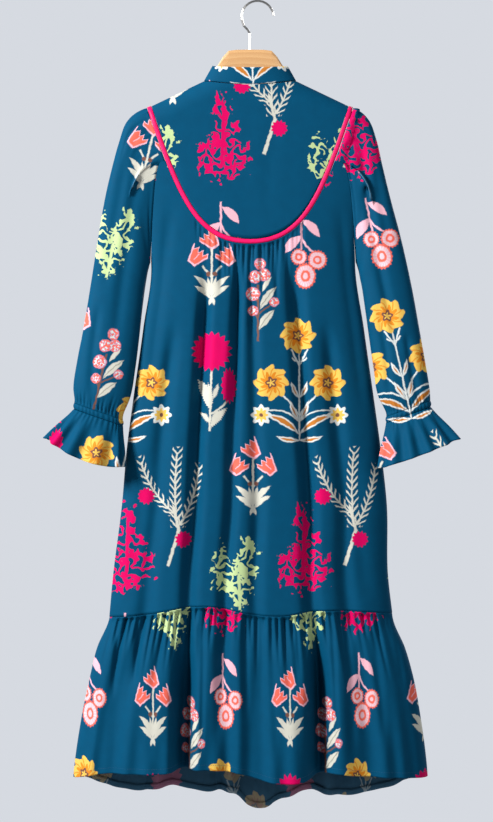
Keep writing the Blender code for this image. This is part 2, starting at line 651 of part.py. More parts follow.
def outward(ring):
    """Directions out of a flattened ring, level."""
    around = np.roll(ring, -1, axis=0) - np.roll(ring, 1, axis=0)
    away = np.cross(around, (0, 0, 1.0))
    away /= np.linalg.norm(away, axis=1, keepdims=True)
    middle = ring.mean(axis=0)
    sign = np.sign(np.sum(away * (ring - middle), axis=1).mean())
    return away * sign


def make_cuff(side_name, side_x, cuff):
    count = CUFF_GATHERS
    shares = (1 + np.cos(np.linspace(0, math.pi, count + 1))) / 2
    band = []
    for row, lift in ((0, HALF_GAP), (1, -HALF_GAP)):
        x, depth, drop = sleeve_ring(cuff[row], shares)
        band.append(closed_ring(x, depth, drop + lift, side_x, cuff[row].forward))
    cloth(f"cuff_band_{side_name}", np.array(band), closed=True, flip=side_x > 0)
    ruffle = []
    waves = np.append(np.cos(np.pi * np.arange(2 * count)), -1.0)
    for q, lower in ((0, 0), (0, CUFF_STRIP), *((q, 0) for q in RUFFLE_ROWS)):
        ring = Cuff(*(a + (b - a) * q for a, b in zip(cuff[1], cuff[2])))
        x, depth, drop = sleeve_ring(ring, shares)
        points = closed_ring(x, depth, drop + HALF_GAP + lower, side_x, ring.forward)
        push = RUFFLE_WAVE_DEPTH / 2 * rise(q / RUFFLE_GROWTH)
        ruffle.append(points + outward(points) * (push * waves)[:, None])
    cloth(f"cuff_ruffle_{side_name}", np.array(ruffle), closed=True, flip=side_x > 0)


def make_wood():
    """The hanger's arms: rounded bars from a head in the middle, with a hole for the hook's stem."""
    half = list(WOOD_HEAD)
    last = WOOD_HEAD[-1]
    for k in range(1, ARM_STEPS + 1):
        q = k / ARM_STEPS
        across = last.across + (ARM_HALF - last.across) * q
        top = shoulder_drop(across) + ARM_SINK + (ARM_SINK_TIP - ARM_SINK) * q
        height = last.bottom - last.top + (ARM_DEPTH_TIP - (last.bottom - last.top)) * q
        half.append(WoodPoint(across, top, top + height))
    sections = [WoodPoint(-p.across, p.top, p.bottom) for p in reversed(half[1:])] + half
    points = []
    for p in sections:
        taper = 1 - ARM_TAPER * rise((abs(p.across) - ARM_TAPER_START) / (ARM_HALF - ARM_TAPER_START))
        angles = 2 * math.pi * (np.arange(ARM_SIDES) + 0.5) / ARM_SIDES
        y = np.sign(np.cos(angles)) * np.abs(np.cos(angles)) ** ARM_FLATNESS * ARM_THICK / 2 * taper
        lift = np.sign(np.sin(angles)) * np.abs(np.sin(angles)) ** ARM_ROUNDNESS
        drop = (p.top + p.bottom) / 2 - lift * (p.bottom - p.top) / 2
        points.append(placed(p.across, y, drop))
    mesh = grid_mesh("hanger_wood", np.array(points), closed=True)
    close_ends(mesh, len(sections), ARM_SIDES)
    wood = new_object("hanger_wood", mesh, WOOD)
    hole_depth = STEM_IN_WOOD + HALF_GAP
    bpy.ops.mesh.primitive_cylinder_add(
        vertices=HOLE_SIDES,
        radius=WIRE / 2 + SEAM_GAP,
        depth=hole_depth * 2,
        location=(STEM_X, 0, -WOOD_HEAD[0].top),
    )
    cutter = bpy.context.object
    cutter.name = "stem_hole"
    for collection in list(cutter.users_collection):
        collection.objects.unlink(cutter)
    bpy.data.collections["cutters"].objects.link(cutter)
    cutter.hide_render = True
    cutter.display_type = "WIRE"
    hole = wood.modifiers.new("Stem hole", "BOOLEAN")
    hole.operation = "DIFFERENCE"
    hole.object = cutter


def make_hook():
    """The wire: round the rail, back to the middle and down into the wood."""
    centre_z = WIRE / 2 - HOOK_RADIUS
    path = []
    for k in range(HOOK_TURNS + 1):
        angle = math.radians(HOOK_TIP_ANGLE + (HOOK_END_ANGLE - HOOK_TIP_ANGLE) * k / HOOK_TURNS)
        path.append((HOOK_RADIUS * math.cos(angle), centre_z + HOOK_RADIUS * math.sin(angle)))
    path += HOOK_BEND
    path.append((STEM_X, -(WOOD_HEAD[0].top + STEM_IN_WOOD)))
    curve = bpy.data.curves.new("hanger_hook", "CURVE")
    curve.dimensions = "3D"
    curve.bevel_depth = WIRE / 2
    curve.bevel_resolution = 2
    curve.use_fill_caps = True
    spline = curve.splines.new("POLY")
    spline.points.add(len(path) - 1)
    for point, (x, z) in zip(spline.points, path):
        point.co = (x, 0, z, 1)
    new_object("hanger_hook", curve, NICKEL)


def clear_scene():
    for obj in list(bpy.data.objects):
        bpy.data.objects.remove(obj, do_unlink=True)


def main():
    clear_scene()
    for name in (NAME, "cutters"):
        bpy.context.scene.collection.children.link(bpy.data.collections.new(name))
    make_yoke("back_yoke", -1)
    make_yoke("front_yoke", 1)
    make_piping("piping_back", -1)
    make_piping("piping_front", 1)
    make_collar()
    make_body("back_body", -1, BODY_FOLDS_BACK, TIER_SEAM_BACK)
    make_body("front_body", 1, BODY_FOLDS_FRONT, TIER_SEAM_FRONT)
    make_tier("back_tier", -1, TIER_FOLDS_BACK, BODY_FOLDS_BACK, TIER_SEAM_BACK, HEM_BACK)
    make_tier("front_tier", 1, TIER_FOLDS_FRONT, BODY_FOLDS_FRONT, TIER_SEAM_FRONT, HEM_FRONT)
    make_sleeve("left", -1, SLEEVE_LEFT, CUFF_LEFT)
    make_sleeve("right", 1, SLEEVE_RIGHT, CUFF_RIGHT)
    make_cuff("left", -1, CUFF_LEFT)
    make_cuff("right", 1, CUFF_RIGHT)
    make_wood()
    make_hook()
    bpy.data.collections["cutters"].hide_render = True


main()
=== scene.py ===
import json
import math
from types import SimpleNamespace

import bmesh
import bpy
import numpy as np
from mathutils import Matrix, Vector


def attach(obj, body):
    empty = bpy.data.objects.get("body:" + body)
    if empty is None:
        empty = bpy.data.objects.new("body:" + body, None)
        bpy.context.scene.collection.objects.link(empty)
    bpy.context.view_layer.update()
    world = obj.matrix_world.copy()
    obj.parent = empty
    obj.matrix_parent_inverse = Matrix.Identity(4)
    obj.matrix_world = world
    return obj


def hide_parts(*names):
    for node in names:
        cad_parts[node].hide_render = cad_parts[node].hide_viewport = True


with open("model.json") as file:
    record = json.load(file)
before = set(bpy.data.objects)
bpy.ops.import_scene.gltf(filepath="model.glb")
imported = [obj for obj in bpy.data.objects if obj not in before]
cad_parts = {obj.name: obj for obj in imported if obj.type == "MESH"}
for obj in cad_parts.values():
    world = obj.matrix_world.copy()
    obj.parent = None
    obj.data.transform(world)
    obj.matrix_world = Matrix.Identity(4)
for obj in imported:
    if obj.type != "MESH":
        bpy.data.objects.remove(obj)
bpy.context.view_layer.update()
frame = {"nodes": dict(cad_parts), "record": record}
record = frame["record"]

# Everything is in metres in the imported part's frame: the back of the dress faces -Y, drops go down from the hook.
centreX = -0.012
printPixel = 0.00162  # one step of the print's chart
clothThick = 0.0009
seamGap = 0.0003

roomSettings = {
    "aim": (-0.0178, 0.0, -0.6626),
    "distance": 3.2,
    "frameHeight": 1.3316,
    "wallColour": (0.80, 0.82, 0.86),
    "floorDrop": 1.95,
    "floorRadius": 1.1,
    "cloth light": 1.75,
}

scene = bpy.context.scene
scene.view_settings.view_transform = "Standard"


def makeCamera(settings):
    lens = bpy.data.cameras.new("Camera")
    lens.lens = lens.sensor_width / settings["frameHeight"] * settings["distance"]
    lens.clip_end = 50
    camera = bpy.data.objects.new("Camera", lens)
    x, y, z = settings["aim"]
    camera.location = (x, y - settings["distance"], z)
    camera.rotation_euler = (math.radians(90), 0, 0)
    scene.collection.objects.link(camera)
    scene.camera = camera


makeCamera(roomSettings)
print("camera in place")


def srgb(red, green, blue, light=1.0):
    # 0 to 255 as seen on screen, to the linear colour that nodes use
    parts = [c / 255 for c in (red, green, blue)]
    return tuple((c / 12.92 if c <= 0.04045 else ((c + 0.055) / 1.055) ** 2.4) / light for c in parts) + (1.0,)


def dyed(red, green, blue):
    # a colour as the photo shows it under this room's light
    return srgb(red, green, blue, roomSettings["cloth light"])


# A socket that sums can be written with.
class Thread:
    tree = None

    def __init__(self, socket):
        self.socket = socket

    @classmethod
    def node(cls, kind, settings=None, sockets=None, out=0):
        made = cls.tree.nodes.new(kind)
        for name, value in (settings or {}).items():
            if name == "stops":
                ramp = made.color_ramp.elements
                while len(ramp) < len(value):
                    ramp.new(0.5)
                for stop, (place, colour) in zip(ramp, value):
                    stop.position = place
                    stop.color = colour
            else:
                setattr(made, name, value)
        for name, value in (sockets or {}).items():
            if isinstance(value, Thread):
                cls.tree.links.new(value.socket, made.inputs[name])
            else:
                made.inputs[name].default_value = value
        return Thread(made.outputs[out] if len(made.outputs) else None)

    def sum(self, operation, *others, clamp=False):
        values = dict(enumerate((self,) + others))
        return Thread.node("ShaderNodeMath", {"operation": operation, "use_clamp": clamp}, values)

    def __add__(self, other):
        return self.sum("ADD", other)

    def __sub__(self, other):
        return self.sum("SUBTRACT", other)

    def __mul__(self, other):
        return self.sum("MULTIPLY", other)

    def __truediv__(self, other):
        return self.sum("DIVIDE", other)

    def __rsub__(self, other):
        return Thread.node("ShaderNodeMath", {"operation": "SUBTRACT"}, {0: other, 1: self})

    def __abs__(self):
        return self.sum("ABSOLUTE")

    __radd__ = __add__
    __rmul__ = __mul__


def vectorSum(operation, *values, out=0):
    return Thread.node("ShaderNodeVectorMath", {"operation": operation}, dict(enumerate(values)), out)


def mixColour(mask, under, over, blend="MIX"):
    settings = {"data_type": "RGBA", "blend_type": blend}
    return Thread.node("ShaderNodeMix", settings, {0: mask, 6: under, 7: over}, 2)


def edgeOf(distance, soft=0.9):
    # 1 where the distance is above nought, with a soft edge one chart step wide
    return distance.sum("MULTIPLY_ADD", 1 / soft, 0.5, clamp=True)


# Every motif is drawn by formula, in chart steps about its own middle, x to the right and y down.
def spot(x, y, atX, atY, radius, squeeze=1.0, soft=0.9):
    across = (x - atX) * squeeze
    return edgeOf(radius - (across * across + (y - atY) * (y - atY)).sum("SQRT"), soft)


def blade(x, y, foot, tip, width, bend=0.0):
    # a pointed leaf from its foot to its tip
    length = math.hypot(tip[0] - foot[0], tip[1] - foot[1])
    ux, uy = (tip[0] - foot[0]) / length, (tip[1] - foot[1]) / length
    along = ((x - foot[0]) * ux + (y - foot[1]) * uy) / length
    aside = (x - foot[0]) * -uy + (y - foot[1]) * ux
    full = along * (1 - along)
    return edgeOf(full * (4 * width) - abs(aside - full * (4 * bend))), aside - full * (4 * bend), along


def twig(x, y, foot, tip, width, bend=0.0):
    # a stem of even width from its foot to its tip
    length = math.hypot(tip[0] - foot[0], tip[1] - foot[1])
    ux, uy = (tip[0] - foot[0]) / length, (tip[1] - foot[1]) / length
    along = (x - foot[0]) * ux + (y - foot[1]) * uy
    aside = (x - foot[0]) * -uy + (y - foot[1]) * ux
    if bend:
        q = along / length
        aside = aside - q * (1 - q) * (4 * bend)
    inside = length / 2 - abs(along - length / 2)
    return edgeOf((width - abs(aside)).sum("MINIMUM", inside))


def petals(x, y, count, radius, depth, turn=0.0, sharp=False):
    # how far inside a flower with that many petals a place is
    angle = y.sum("ARCTAN2", x)
    reach = (x * x + y * y).sum("SQRT")
    if sharp:
        saw = (angle * (count / (2 * math.pi)) + turn).sum("PINGPONG", 0.5)
        return reach * -1 + saw * (2 * depth) + (radius - depth), angle, reach
    wave = (angle * count + turn).sum("COSINE")
    return wave * depth + radius - reach, angle, reach


inks = {
    "ground": dyed(3, 76, 110),
    "coral": dyed(248, 110, 92),
    "coralLight": dyed(250, 190, 205),
    "bone": dyed(214, 212, 198),
    "boneShade": dyed(150, 150, 140),
    "magenta": dyed(222, 6, 96),
    "yellow": dyed(242, 196, 92),
    "orange": dyed(230, 142, 40),
    "rust": dyed(200, 124, 50),
    "white": dyed(226, 230, 226),
    "pink": dyed(247, 186, 200),
    "lilac": dyed(190, 140, 170),
    "brown": dyed(122, 82, 70),
    "green": dyed(196, 218, 156),
}


def tulipSprig(x, y):
    side = abs(x)
    layers = []
    for headX, headY, headPlace in ((15.0, -6.0, side), (-1.0, -22.5, x)):
        across, down = headPlace - headX, y - headY
        if headX:
            turned = across * 0.78 - down * 0.62
            down = across * 0.62 + down * 0.78
            across = turned
        crown = (across + 1.4).sum("PINGPONG", 2.8) * 1.5 - 8.5
        size = 1.12 if headX else 0.84
        cup = edgeOf((6.6 * size - abs(across) - down * 0.35).sum("MINIMUM", 7.8 * size - down)
                     .sum("MINIMUM", down - crown * size))
        rim = edgeOf((5.3 * size - abs(across) - down * 0.35).sum("MINIMUM", 6.2 * size - down)
                     .sum("MINIMUM", down - crown * size - 1.2))
        vein = edgeOf(0.45 - abs(across - down * 0.1)) * edgeOf(4 - abs(down))
        layers += [(cup, inks["coralLight"]), (rim, inks["coral"]), (vein * rim, inks["coralLight"])]
    stems = twig(side, y, (0, 14), (9.5, 3), 0.9).sum("MAXIMUM", twig(x, y, (0, 39), (0, -14), 1.0))
    buds = spot(side, y, 3.2, 11.0, 2.2)
    leaves = blade(side, y, (0.5, 33), (17.5, 13), 3.0, -2.6)[0]
    leaves = leaves.sum("MAXIMUM", blade(side, y, (0.5, 36), (17, 23), 2.6, -1.8)[0])
    leaves = leaves.sum("MAXIMUM", blade(side, y, (0, 34), (4.2, 14), 2.1)[0])
    leaves = leaves.sum("MAXIMUM", blade(side, y, (0, 33), (2.8, 42), 1.6)[0])
    return [(stems, inks["bone"]), (buds, inks["brown"]), (leaves, inks["bone"])] + layers


def daisySprig(x, y):
    stems = twig(x, y, (-3, -42), (-3, -6), 1.0).sum("MAXIMUM", twig(x, y, (-3, -22), (9, -5), 0.9, 2.5))
    leaf = blade(x, y, (-3, -21), (-19, -4), 4.6, 1.6)
    other = blade(x, y, (-2, -37), (15, -20), 4.2, -1.5)
    streak = edgeOf((leaf[2] * 40).sum("PINGPONG", 1.5) - 0.95, 0.6) * leaf[0]
    layers = [(stems, inks["pink"]), (leaf[0].sum("MAXIMUM", other[0]), inks["pink"]), (streak, inks["coralLight"])]
    for atX, atY, size, stretch in ((-5.5, 0.0, 8.4, 1.0), (13.0, 3.0, 9.8, 1.0), (1.0, 19.0, 10.8, 0.82)):
        fringe, angle, reach = petals(x - atX, (y - atY) * stretch, 19, size, 1.1, sharp=True)
        ring = (reach * -1 + size * 0.80)
        ray = edgeOf((angle * (19 / 2 / math.pi)).sum("PINGPONG", 0.5) * 3.0 - 0.9, 0.5) * edgeOf(ring)
        layers += [
            (edgeOf(fringe), inks["coral"]),
            (edgeOf(ring), inks["pink"]),
            (ray * 0.6, inks["white"]),
            (edgeOf(1.1 - abs(reach - size * 0.34)), inks["coral"]),
        ]
    return layers


def berryTwig(x, y):
    stems = twig(x, y, (-1, 36), (-1, -20), 0.9).sum("MAXIMUM", twig(x, y, (-1, 9), (14, -2), 0.7))
    stems = stems.sum("MAXIMUM", twig(x, y, (-1, -2), (-6, -14), 0.7)).sum("MAXIMUM", twig(x, y, (-1, 14), (-6, 5), 0.7))
    leaf = blade(x, y, (1, 4), (17, -18), 3.8, -1.2)
    low = blade(x, y, (0, 24), (15, 5), 4.0, -1.2)
    thin = blade(x, y, (3, -13), (12, -28), 2.2, -0.8)
    leaves = leaf[0].sum("MAXIMUM", low[0]).sum("MAXIMUM", thin[0])
    rib = edgeOf(0.4 - abs(leaf[1])).sum("MAXIMUM", edgeOf(0.4 - abs(low[1]))) * leaves
    balls = None
    for atX, atY, size in ((1, -41, 5.7), (5, -30, 6.2), (-4, -28, 6.2), (-6, -11, 6.8), (-6, 5.5, 5.0), (15, -3, 4.6)):
        ball = (x - atX) * (x - atX) + (y - atY) * (y - atY)
        ball = size - ball.sum("SQRT")
        balls = ball if balls is None else balls.sum("MAXIMUM", ball)
    mottle = Thread.node("ShaderNodeTexNoise", {"noise_dimensions": "2D"}, {"Vector": Thread.place, "Scale": 0.42}, "Fac")
    berry = edgeOf(balls)
    return [
        (stems, inks["brown"]),
        (leaves, inks["bone"]),
        (rib, inks["boneShade"]),
        (berry, inks["coral"]),
        (berry * edgeOf((mottle - 0.47) * 12), inks["lilac"]),
        (edgeOf(balls - 1.0) * edgeOf((mottle - 0.56) * 14), inks["white"]),
    ]


def pompomFlower(x, y):
    ball = edgeOf(petals(x, y + 18, 18, 20.5, 4.6, sharp=True)[0])
    other = edgeOf(petals((x - 17) * 2.3, y - 16, 15, 18.5, 4.6, sharp=True)[0])
    stems = twig(x, y, (-2, 61), (0, -3), 1.0).sum("MAXIMUM", twig(x, y, (-1, 44), (16, 30), 0.9, 1.5))
    leaves = None
    for foot, tip, width, bend in (
        ((-1, 41), (-14, 9), 5.6, 2.4), ((-1, 38), (-4, 12), 3.4, 0.5), ((-1, 58), (16, 38), 4.4, -2.0),
        ((0, 56), (6, 40), 3.6, 0.0), ((-1, 54), (-12, 42), 3.0, 1.0), ((1, 30), (7, 13), 2.8, 0.0),
    ):
        leaf, aside, along = blade(x, y, foot, tip, width, bend)
        leaf = edgeOf((along * 26).sum("PINGPONG", 1.0) * 1.3 + along * (1 - along) * (4 * width) - 1.3 - abs(aside))
        leaves = leaf if leaves is None else leaves.sum("MAXIMUM", leaf)
    return [(stems, inks["bone"]), (leaves, inks["bone"]), (ball.sum("MAXIMUM", other), inks["magenta"])]


def goldenSpray(x, y):
    side = abs(x)
    stems = twig(x, y, (0, 52), (0, -40), 0.8)
    for foot, tip, bend in (((0, 28), (24, 2), -2.0), ((0, 34), (36, 24), -6.0), ((0, -22), (8, -38), 0.0), ((0, -26), (7, -30), 1.0)):
        stems = stems.sum("MAXIMUM", twig(side, y, foot, tip, 0.75, bend))
    outline = None
    fill = None
    for foot, tip, width, bend in (
        ((0.5, 46), (34, 27), 3.6, -3.6), ((0, 52), (23, 48), 2.6, 1.4),
        ((0.5, 32), (9, 13), 2.3, 1.2), ((0.5, 10), (8, -6), 2.2, 1.0),
    ):
        leaf, aside, along = blade(side, y, foot, tip, width, bend)
        core = edgeOf(along * (1 - along) * (4 * width) - abs(aside) - 1.5)
        outline = leaf if outline is None else outline.sum("MAXIMUM", leaf)
        fill = core if fill is None else fill.sum("MAXIMUM", core)
    layers = [(stems, inks["white"]), (outline, inks["white"]), (fill, inks["rust"])]
    for place, atX, atY, size in ((side, 28.0, -5.0, 17.0), (x, -1.5, -52.0, 17.0)):
        across, down = place - atX, y - atY
        swirl = (across * across + down * down).sum("SQRT") * 0.055
        inside, angle, reach = petals(across, down, 8, size * 0.9, size * 0.17)
        curl = (angle * 8 + swirl * 7).sum("COSINE") * (size * 0.11) + size * 0.94 - reach
        split = edgeOf(0.55 - abs((angle * (8 / math.tau) + swirl * 0.9 + 0.5).sum("PINGPONG", 0.5)) * reach * 0.75)
        layers += [
            (edgeOf(curl), inks["yellow"]),
            (edgeOf((angle * 8 + swirl * 4 + 0.6).sum("COSINE") * 3.0 + size * 0.50 - reach), inks["orange"]),
            (split * edgeOf(reach - size * 0.3) * edgeOf(curl), inks["orange"]),
            (edgeOf((angle * 5).sum("COSINE") * 1.0 + size * 0.30 - reach), inks["brown"]),
            (edgeOf((angle * 5).sum("COSINE") * 1.4 + size * 0.15 - reach), inks["yellow"]),
        ]
    across, down = side - 38, y - 27
    bell, angle, reach = petals(across, down, 8, 9.2, 1.5)
    layers += [
        (edgeOf(bell), inks["white"]),
        (edgeOf((angle * 8).sum("COSINE") * 1.2 + 5.8 - reach), inks["yellow"]),
        (edgeOf(1.9 - reach), inks["brown"]),
    ]
    return layers


def rosemarySprig(x, y):
    stems = twig(x, y, (0, 72), (11, 36), 1.6).sum("MAXIMUM", twig(x, y, (11, 38), (5, 14), 1.4))
    needles = None
    for foot, tip, bend, size in (
        ((9, 34), (9, -40), -2.0, 6.4), ((6, 20), (-27, -30), -5.0, 6.0), ((12, 32), (30, -23), 3.0, 5.4),
    ):
        length = math.hypot(tip[0] - foot[0], tip[1] - foot[1])
        ux, uy = (tip[0] - foot[0]) / length, (tip[1] - foot[1]) / length
        along = (x - foot[0]) * ux + (y - foot[1]) * uy
        aside = (x - foot[0]) * -uy + (y - foot[1]) * ux
        share = along / length
        aside = abs(aside - share * (1 - share) * (4 * bend))
        comb = 1.15 - (along - aside * 1.25).sum("PINGPONG", 3.6)
        part = edgeOf(comb.sum("MINIMUM", size - aside - share * 1.5).sum("MINIMUM", length / 2 + 3 - abs(along - length / 2 - 3)))
        rib = edgeOf((0.8 - aside).sum("MINIMUM", length / 2 - abs(along - length / 2)))
        both = part.sum("MAXIMUM", rib)
        needles = both if needles is None else needles.sum("MAXIMUM", both)
    buds = edgeOf(petals(x - 15, y - 46, 12, 8.4, 2.0, sharp=True)[0])
    buds = buds.sum("MAXIMUM", edgeOf(petals(x + 22, (y - 3.5) * 1.05, 12, 8.8, 2.0, sharp=True)[0]))
    return [(stems, inks["bone"]), (needles, inks["bone"]), (buds, inks["magenta"])]


def lacyNoise(seed):
    # worm-like blobs and the slow noise that makes an outline ragged
    place = vectorSum("ADD", Thread.place, (seed * 31.0, seed * 17.0, 0.0))
    blobs = {"Vector": place, "Scale": 0.125, "Detail": 0.2, "Distortion": 0.5}
    worms = Thread.node("ShaderNodeTexNoise", {"noise_dimensions": "2D"}, blobs, "Fac")
    edge = Thread.node("ShaderNodeTexNoise", {"noise_dimensions": "2D"}, {"Vector": place, "Scale": 0.12, "Detail": 2.0}, "Fac")
    return 0.118 - abs(worms - 0.5), edge - 0.5


def coralTree(x, y):
    worms, edge = lacyNoise(1)
    # lobes: top, middle, right, left and a low branch to the left
    inside = None
    for atX, atY, wide, tall in ((0, -28, 9, 17), (3, -8, 15, 14), (9, 10, 18, 13), (-10, 12, 15, 12), (-6, 28, 18, 11), (10, 25, 12, 8)):
        across, down = (x - atX) * (1 / wide), (y - atY) * (1 / tall)
        lobe = (1.0 - (across * across + down * down).sum("SQRT")) * min(wide, tall)
        inside = lobe if inside is None else inside.sum("MAXIMUM", lobe)
    inside = inside + edge * 22
    mask = edgeOf((worms * 60).sum("MINIMUM", inside)).sum("MAXIMUM", twig(x, y, (-1, 26), (1, -34), 1.6))
    return [(mask, inks["magenta"])]


def seaweed(x, y):
    worms, edge = lacyNoise(4)
    inside = None
    for atX, atY, wide, tall in ((13, -22, 9, 14), (-13, -12, 9, 14), (8, -4, 14, 13), (-6, 6, 15, 12), (6, 14, 11, 10), (5, 25, 6, 9)):
        across, down = (x - atX) * (1 / wide), (y - atY) * (1 / tall)
        lobe = (1.0 - (across * across + down * down).sum("SQRT")) * min(wide, tall)
        inside = lobe if inside is None else inside.sum("MAXIMUM", lobe)
    inside = inside + edge * 20
    mask = edgeOf((worms * 60).sum("MINIMUM", inside)).sum("MAXIMUM", twig(x, y, (5, 34), (4, -2), 1.5))
    return [(mask, inks["green"])]


# The print's chart: middles in steps within one repeat of 175 by 395, as on the body of the dress.
repeat = (175.0, 395.0)
chart = (
    (tulipSprig, 212, 264), (tulipSprig, 253, 472), (daisySprig, 304, 258), (berryTwig, 259, 306),
    (pompomFlower, 212, 370), (goldenSpray, 299, 388), (rosemarySprig, 344, 492), (coralTree, 303, 551),
    (seaweed, 235, 573),
)


def printedCloth(name, settings):
    made = bpy.data.materials.new(name)
    made.use_nodes = True
    tree = made.node_tree
    tree.nodes.clear()
    Thread.tree = tree
    flat = Thread.node("ShaderNodeUVMap", {"uv_map": "cut"})
    chartPlace = vectorSum("SCALE", flat)
    chartPlace.socket.node.inputs["Scale"].default_value = 1 / printPixel
    wobble = Thread.node("ShaderNodeTexNoise", {"noise_dimensions": "2D"}, {"Vector": chartPlace, "Scale": 0.22, "Detail": 1.0}, "Color")
    wobble = vectorSum("MULTIPLY_ADD", wobble, (1.6, 1.6, 0.0), (-0.8, -0.8, 0.0))
    drawn = vectorSum("ADD", chartPlace, wobble)
    Thread.place = drawn
    colour = settings["ground"]
    for motif, atX, atY in chart:
        local = vectorSum("SUBTRACT", drawn, (atX, atY, 0.0))
        half = (repeat[0] / 2, repeat[1] / 2, 1.0)
        local = vectorSum("WRAP", local, half, tuple(-h for h in half))
        parts = Thread.node("ShaderNodeSeparateXYZ", None, {0: local})
        x, y = parts, Thread(parts.socket.node.outputs[1])
        for mask, ink in motif(x, y):
            colour = mixColour(mask, colour, settings["ink"](ink))
    # crepe weave: two fine ribs, painted darker in their troughs and lighter on their crests as painted shade that
    # follows the bump, and a little unevenness in the dye
    ribs = Thread.node("ShaderNodeTexWave", {"wave_type": "BANDS", "bands_direction": "X"}, {"Vector": flat, "Scale": 210.0, "Distortion": 1.5}, "Fac")
    picks = Thread.node("ShaderNodeTexWave", {"wave_type": "BANDS", "bands_direction": "Y"}, {"Vector": flat, "Scale": 190.0, "Distortion": 1.5}, "Fac")
    slub = Thread.node("ShaderNodeTexNoise", {"noise_dimensions": "2D"}, {"Vector": flat, "Scale": 60.0, "Detail": 4.0}, "Fac")
    weave = ribs * 0.5 + picks * 0.5
    # the ribs' term is painted shade and painted highlight of the weave; the slub's term is unevenness in the dye
    shade = (weave - 0.5) * settings["weavePaintedShade"] + (slub - 0.5) * settings["slubShade"] + 1.0
    shade = Thread.node("ShaderNodeCombineXYZ", None, {0: shade, 1: shade, 2: shade})
    colour = mixColour(1.0, colour, shade, "MULTIPLY")
    height = weave * 0.6 + slub * 0.8
    bump = Thread.node("ShaderNodeBump", None, {"Strength": settings["bump"], "Distance": 0.0004, "Height": height})
    roughness = slub * 0.14 + settings["roughness"]
    cloth = Thread.node("ShaderNodeBsdfPrincipled", None, {"Base Color": colour, "Roughness": roughness, "Normal": bump})
    shader = cloth.socket.node
    shader.inputs["Sheen Weight"].default_value = settings["sheen"]
    shader.inputs["Sheen Roughness"].default_value = 0.45
    shader.inputs["Sheen Tint"].default_value = (0.75, 0.88, 1.0, 1.0)
    shader.inputs["Specular IOR Level"].default_value = 0.03
    Thread.node("ShaderNodeOutputMaterial", None, {"Surface": cloth})
    return made


def faded(ink):
    # the dye as it shows through to the wrong side
    paper = dyed(120, 150, 166)
    return tuple(0.42 * a + 0.58 * b for a, b in zip(ink, paper))


rightSide = {
    # the weave's amount is painted shade in the colour: darker rib troughs, lighter crests
    "ground": inks["ground"], "ink": tuple, "weavePaintedShade": 0.10, "slubShade": 0.16,
    "bump": 0.35, "roughness": 0.60, "sheen": 0.0,
}
wrongSide = {**rightSide, "ground": dyed(66, 110, 138), "ink": faded, "sheen": 0.0}

rightCloth = printedCloth("PrintedCrepe", rightSide)
wrongCloth = printedCloth("PrintedCrepeWrongSide", wrongSide)
print("print drawn:", len(rightCloth.node_tree.nodes), "nodes")


def plainMaterial(name, build):
    made = bpy.data.materials.new(name)
    made.use_nodes = True
    made.node_tree.nodes.clear()
    Thread.tree = made.node_tree
    Thread.node("ShaderNodeOutputMaterial", None, {"Surface": build()})
    return made


def pipingBuild():
    flat = Thread.node("ShaderNodeUVMap", {"uv_map": "cut"})
    # satin twill lines on the bias
    twill = Thread.node("ShaderNodeTexWave", {"wave_type": "BANDS", "bands_direction": "DIAGONAL"}, {"Vector": flat, "Scale": 260.0, "Distortion": 0.8}, "Fac")
    wrinkleAndPaintedLight = Thread.node("ShaderNodeTexNoise", {"noise_dimensions": "2D"}, {"Vector": flat, "Scale": 90.0, "Detail": 3.0}, "Fac")
    # the pink is painted lighter and darker along the wrinkles: painted highlight and painted shade of the satin; the
    # same noise also bumps the cord and varies its roughness
    colour = mixColour(wrinkleAndPaintedLight, dyed(236, 0, 88), dyed(255, 22, 112))
    bump = Thread.node("ShaderNodeBump", None, {"Strength": 0.35, "Distance": 0.0005, "Height": twill * 0.4 + wrinkleAndPaintedLight})
    cord = Thread.node("ShaderNodeBsdfPrincipled", None, {"Base Color": colour, "Roughness": wrinkleAndPaintedLight * 0.1 + 0.42, "Normal": bump})
    cord.socket.node.inputs["Specular IOR Level"].default_value = 0.15
    return cord


pipingCloth = plainMaterial("PinkPiping", pipingBuild)


def sewingBuild():
    spun = Thread.node("ShaderNodeTexNoise", None, {"Scale": 900.0, "Detail": 2.0}, "Fac")
    colour = mixColour(spun, dyed(0, 52, 84), dyed(20, 92, 128))
    bump = Thread.node("ShaderNodeBump", None, {"Strength": 0.4, "Distance": 0.0002, "Height": spun})
    return Thread.node("ShaderNodeBsdfPrincipled", None, {"Base Color": colour, "Roughness": 0.6, "Normal": bump})


sewingThread = plainMaterial("TealSewingThread", sewingBuild)


def woodBuild():
    spot3 = Thread.node("ShaderNodeTexCoord", None, None, "Object")
    stretched = vectorSum("MULTIPLY", spot3, (9.0, 60.0, 60.0))
    warp = Thread.node("ShaderNodeTexNoise", None, {"Vector": vectorSum("MULTIPLY", spot3, (6.0, 20.0, 20.0)), "Scale": 1.0, "Detail": 2.0}, "Color")
    stretched = vectorSum("MULTIPLY_ADD", warp, (1.2, 1.2, 1.2), stretched)
    rings = Thread.node("ShaderNodeTexWave", {"wave_type": "BANDS", "bands_direction": "Z", "wave_profile": "SAW"}, {"Vector": stretched, "Scale": 0.55, "Distortion": 3.0, "Detail": 2.0}, "Fac")
    fibre = Thread.node("ShaderNodeTexNoise", None, {"Vector": vectorSum("MULTIPLY", spot3, (40.0, 900.0, 900.0)), "Scale": 1.0, "Detail": 3.0}, "Fac")
    colour = mixColour(rings * 0.7, dyed(228, 180, 122), dyed(204, 148, 88))
    colour = mixColour(fibre * 0.35, colour, dyed(190, 138, 86))
    bump = Thread.node("ShaderNodeBump", None, {"Strength": 0.12, "Distance": 0.0005, "Height": fibre + rings * 0.3})
    wood = Thread.node("ShaderNodeBsdfPrincipled", None, {"Base Color": colour, "Roughness": fibre * 0.12 + 0.36, "Normal": bump})
    wood.socket.node.inputs["Coat Weight"].default_value = 0.35
    wood.socket.node.inputs["Coat Roughness"].default_value = 0.22
    return wood


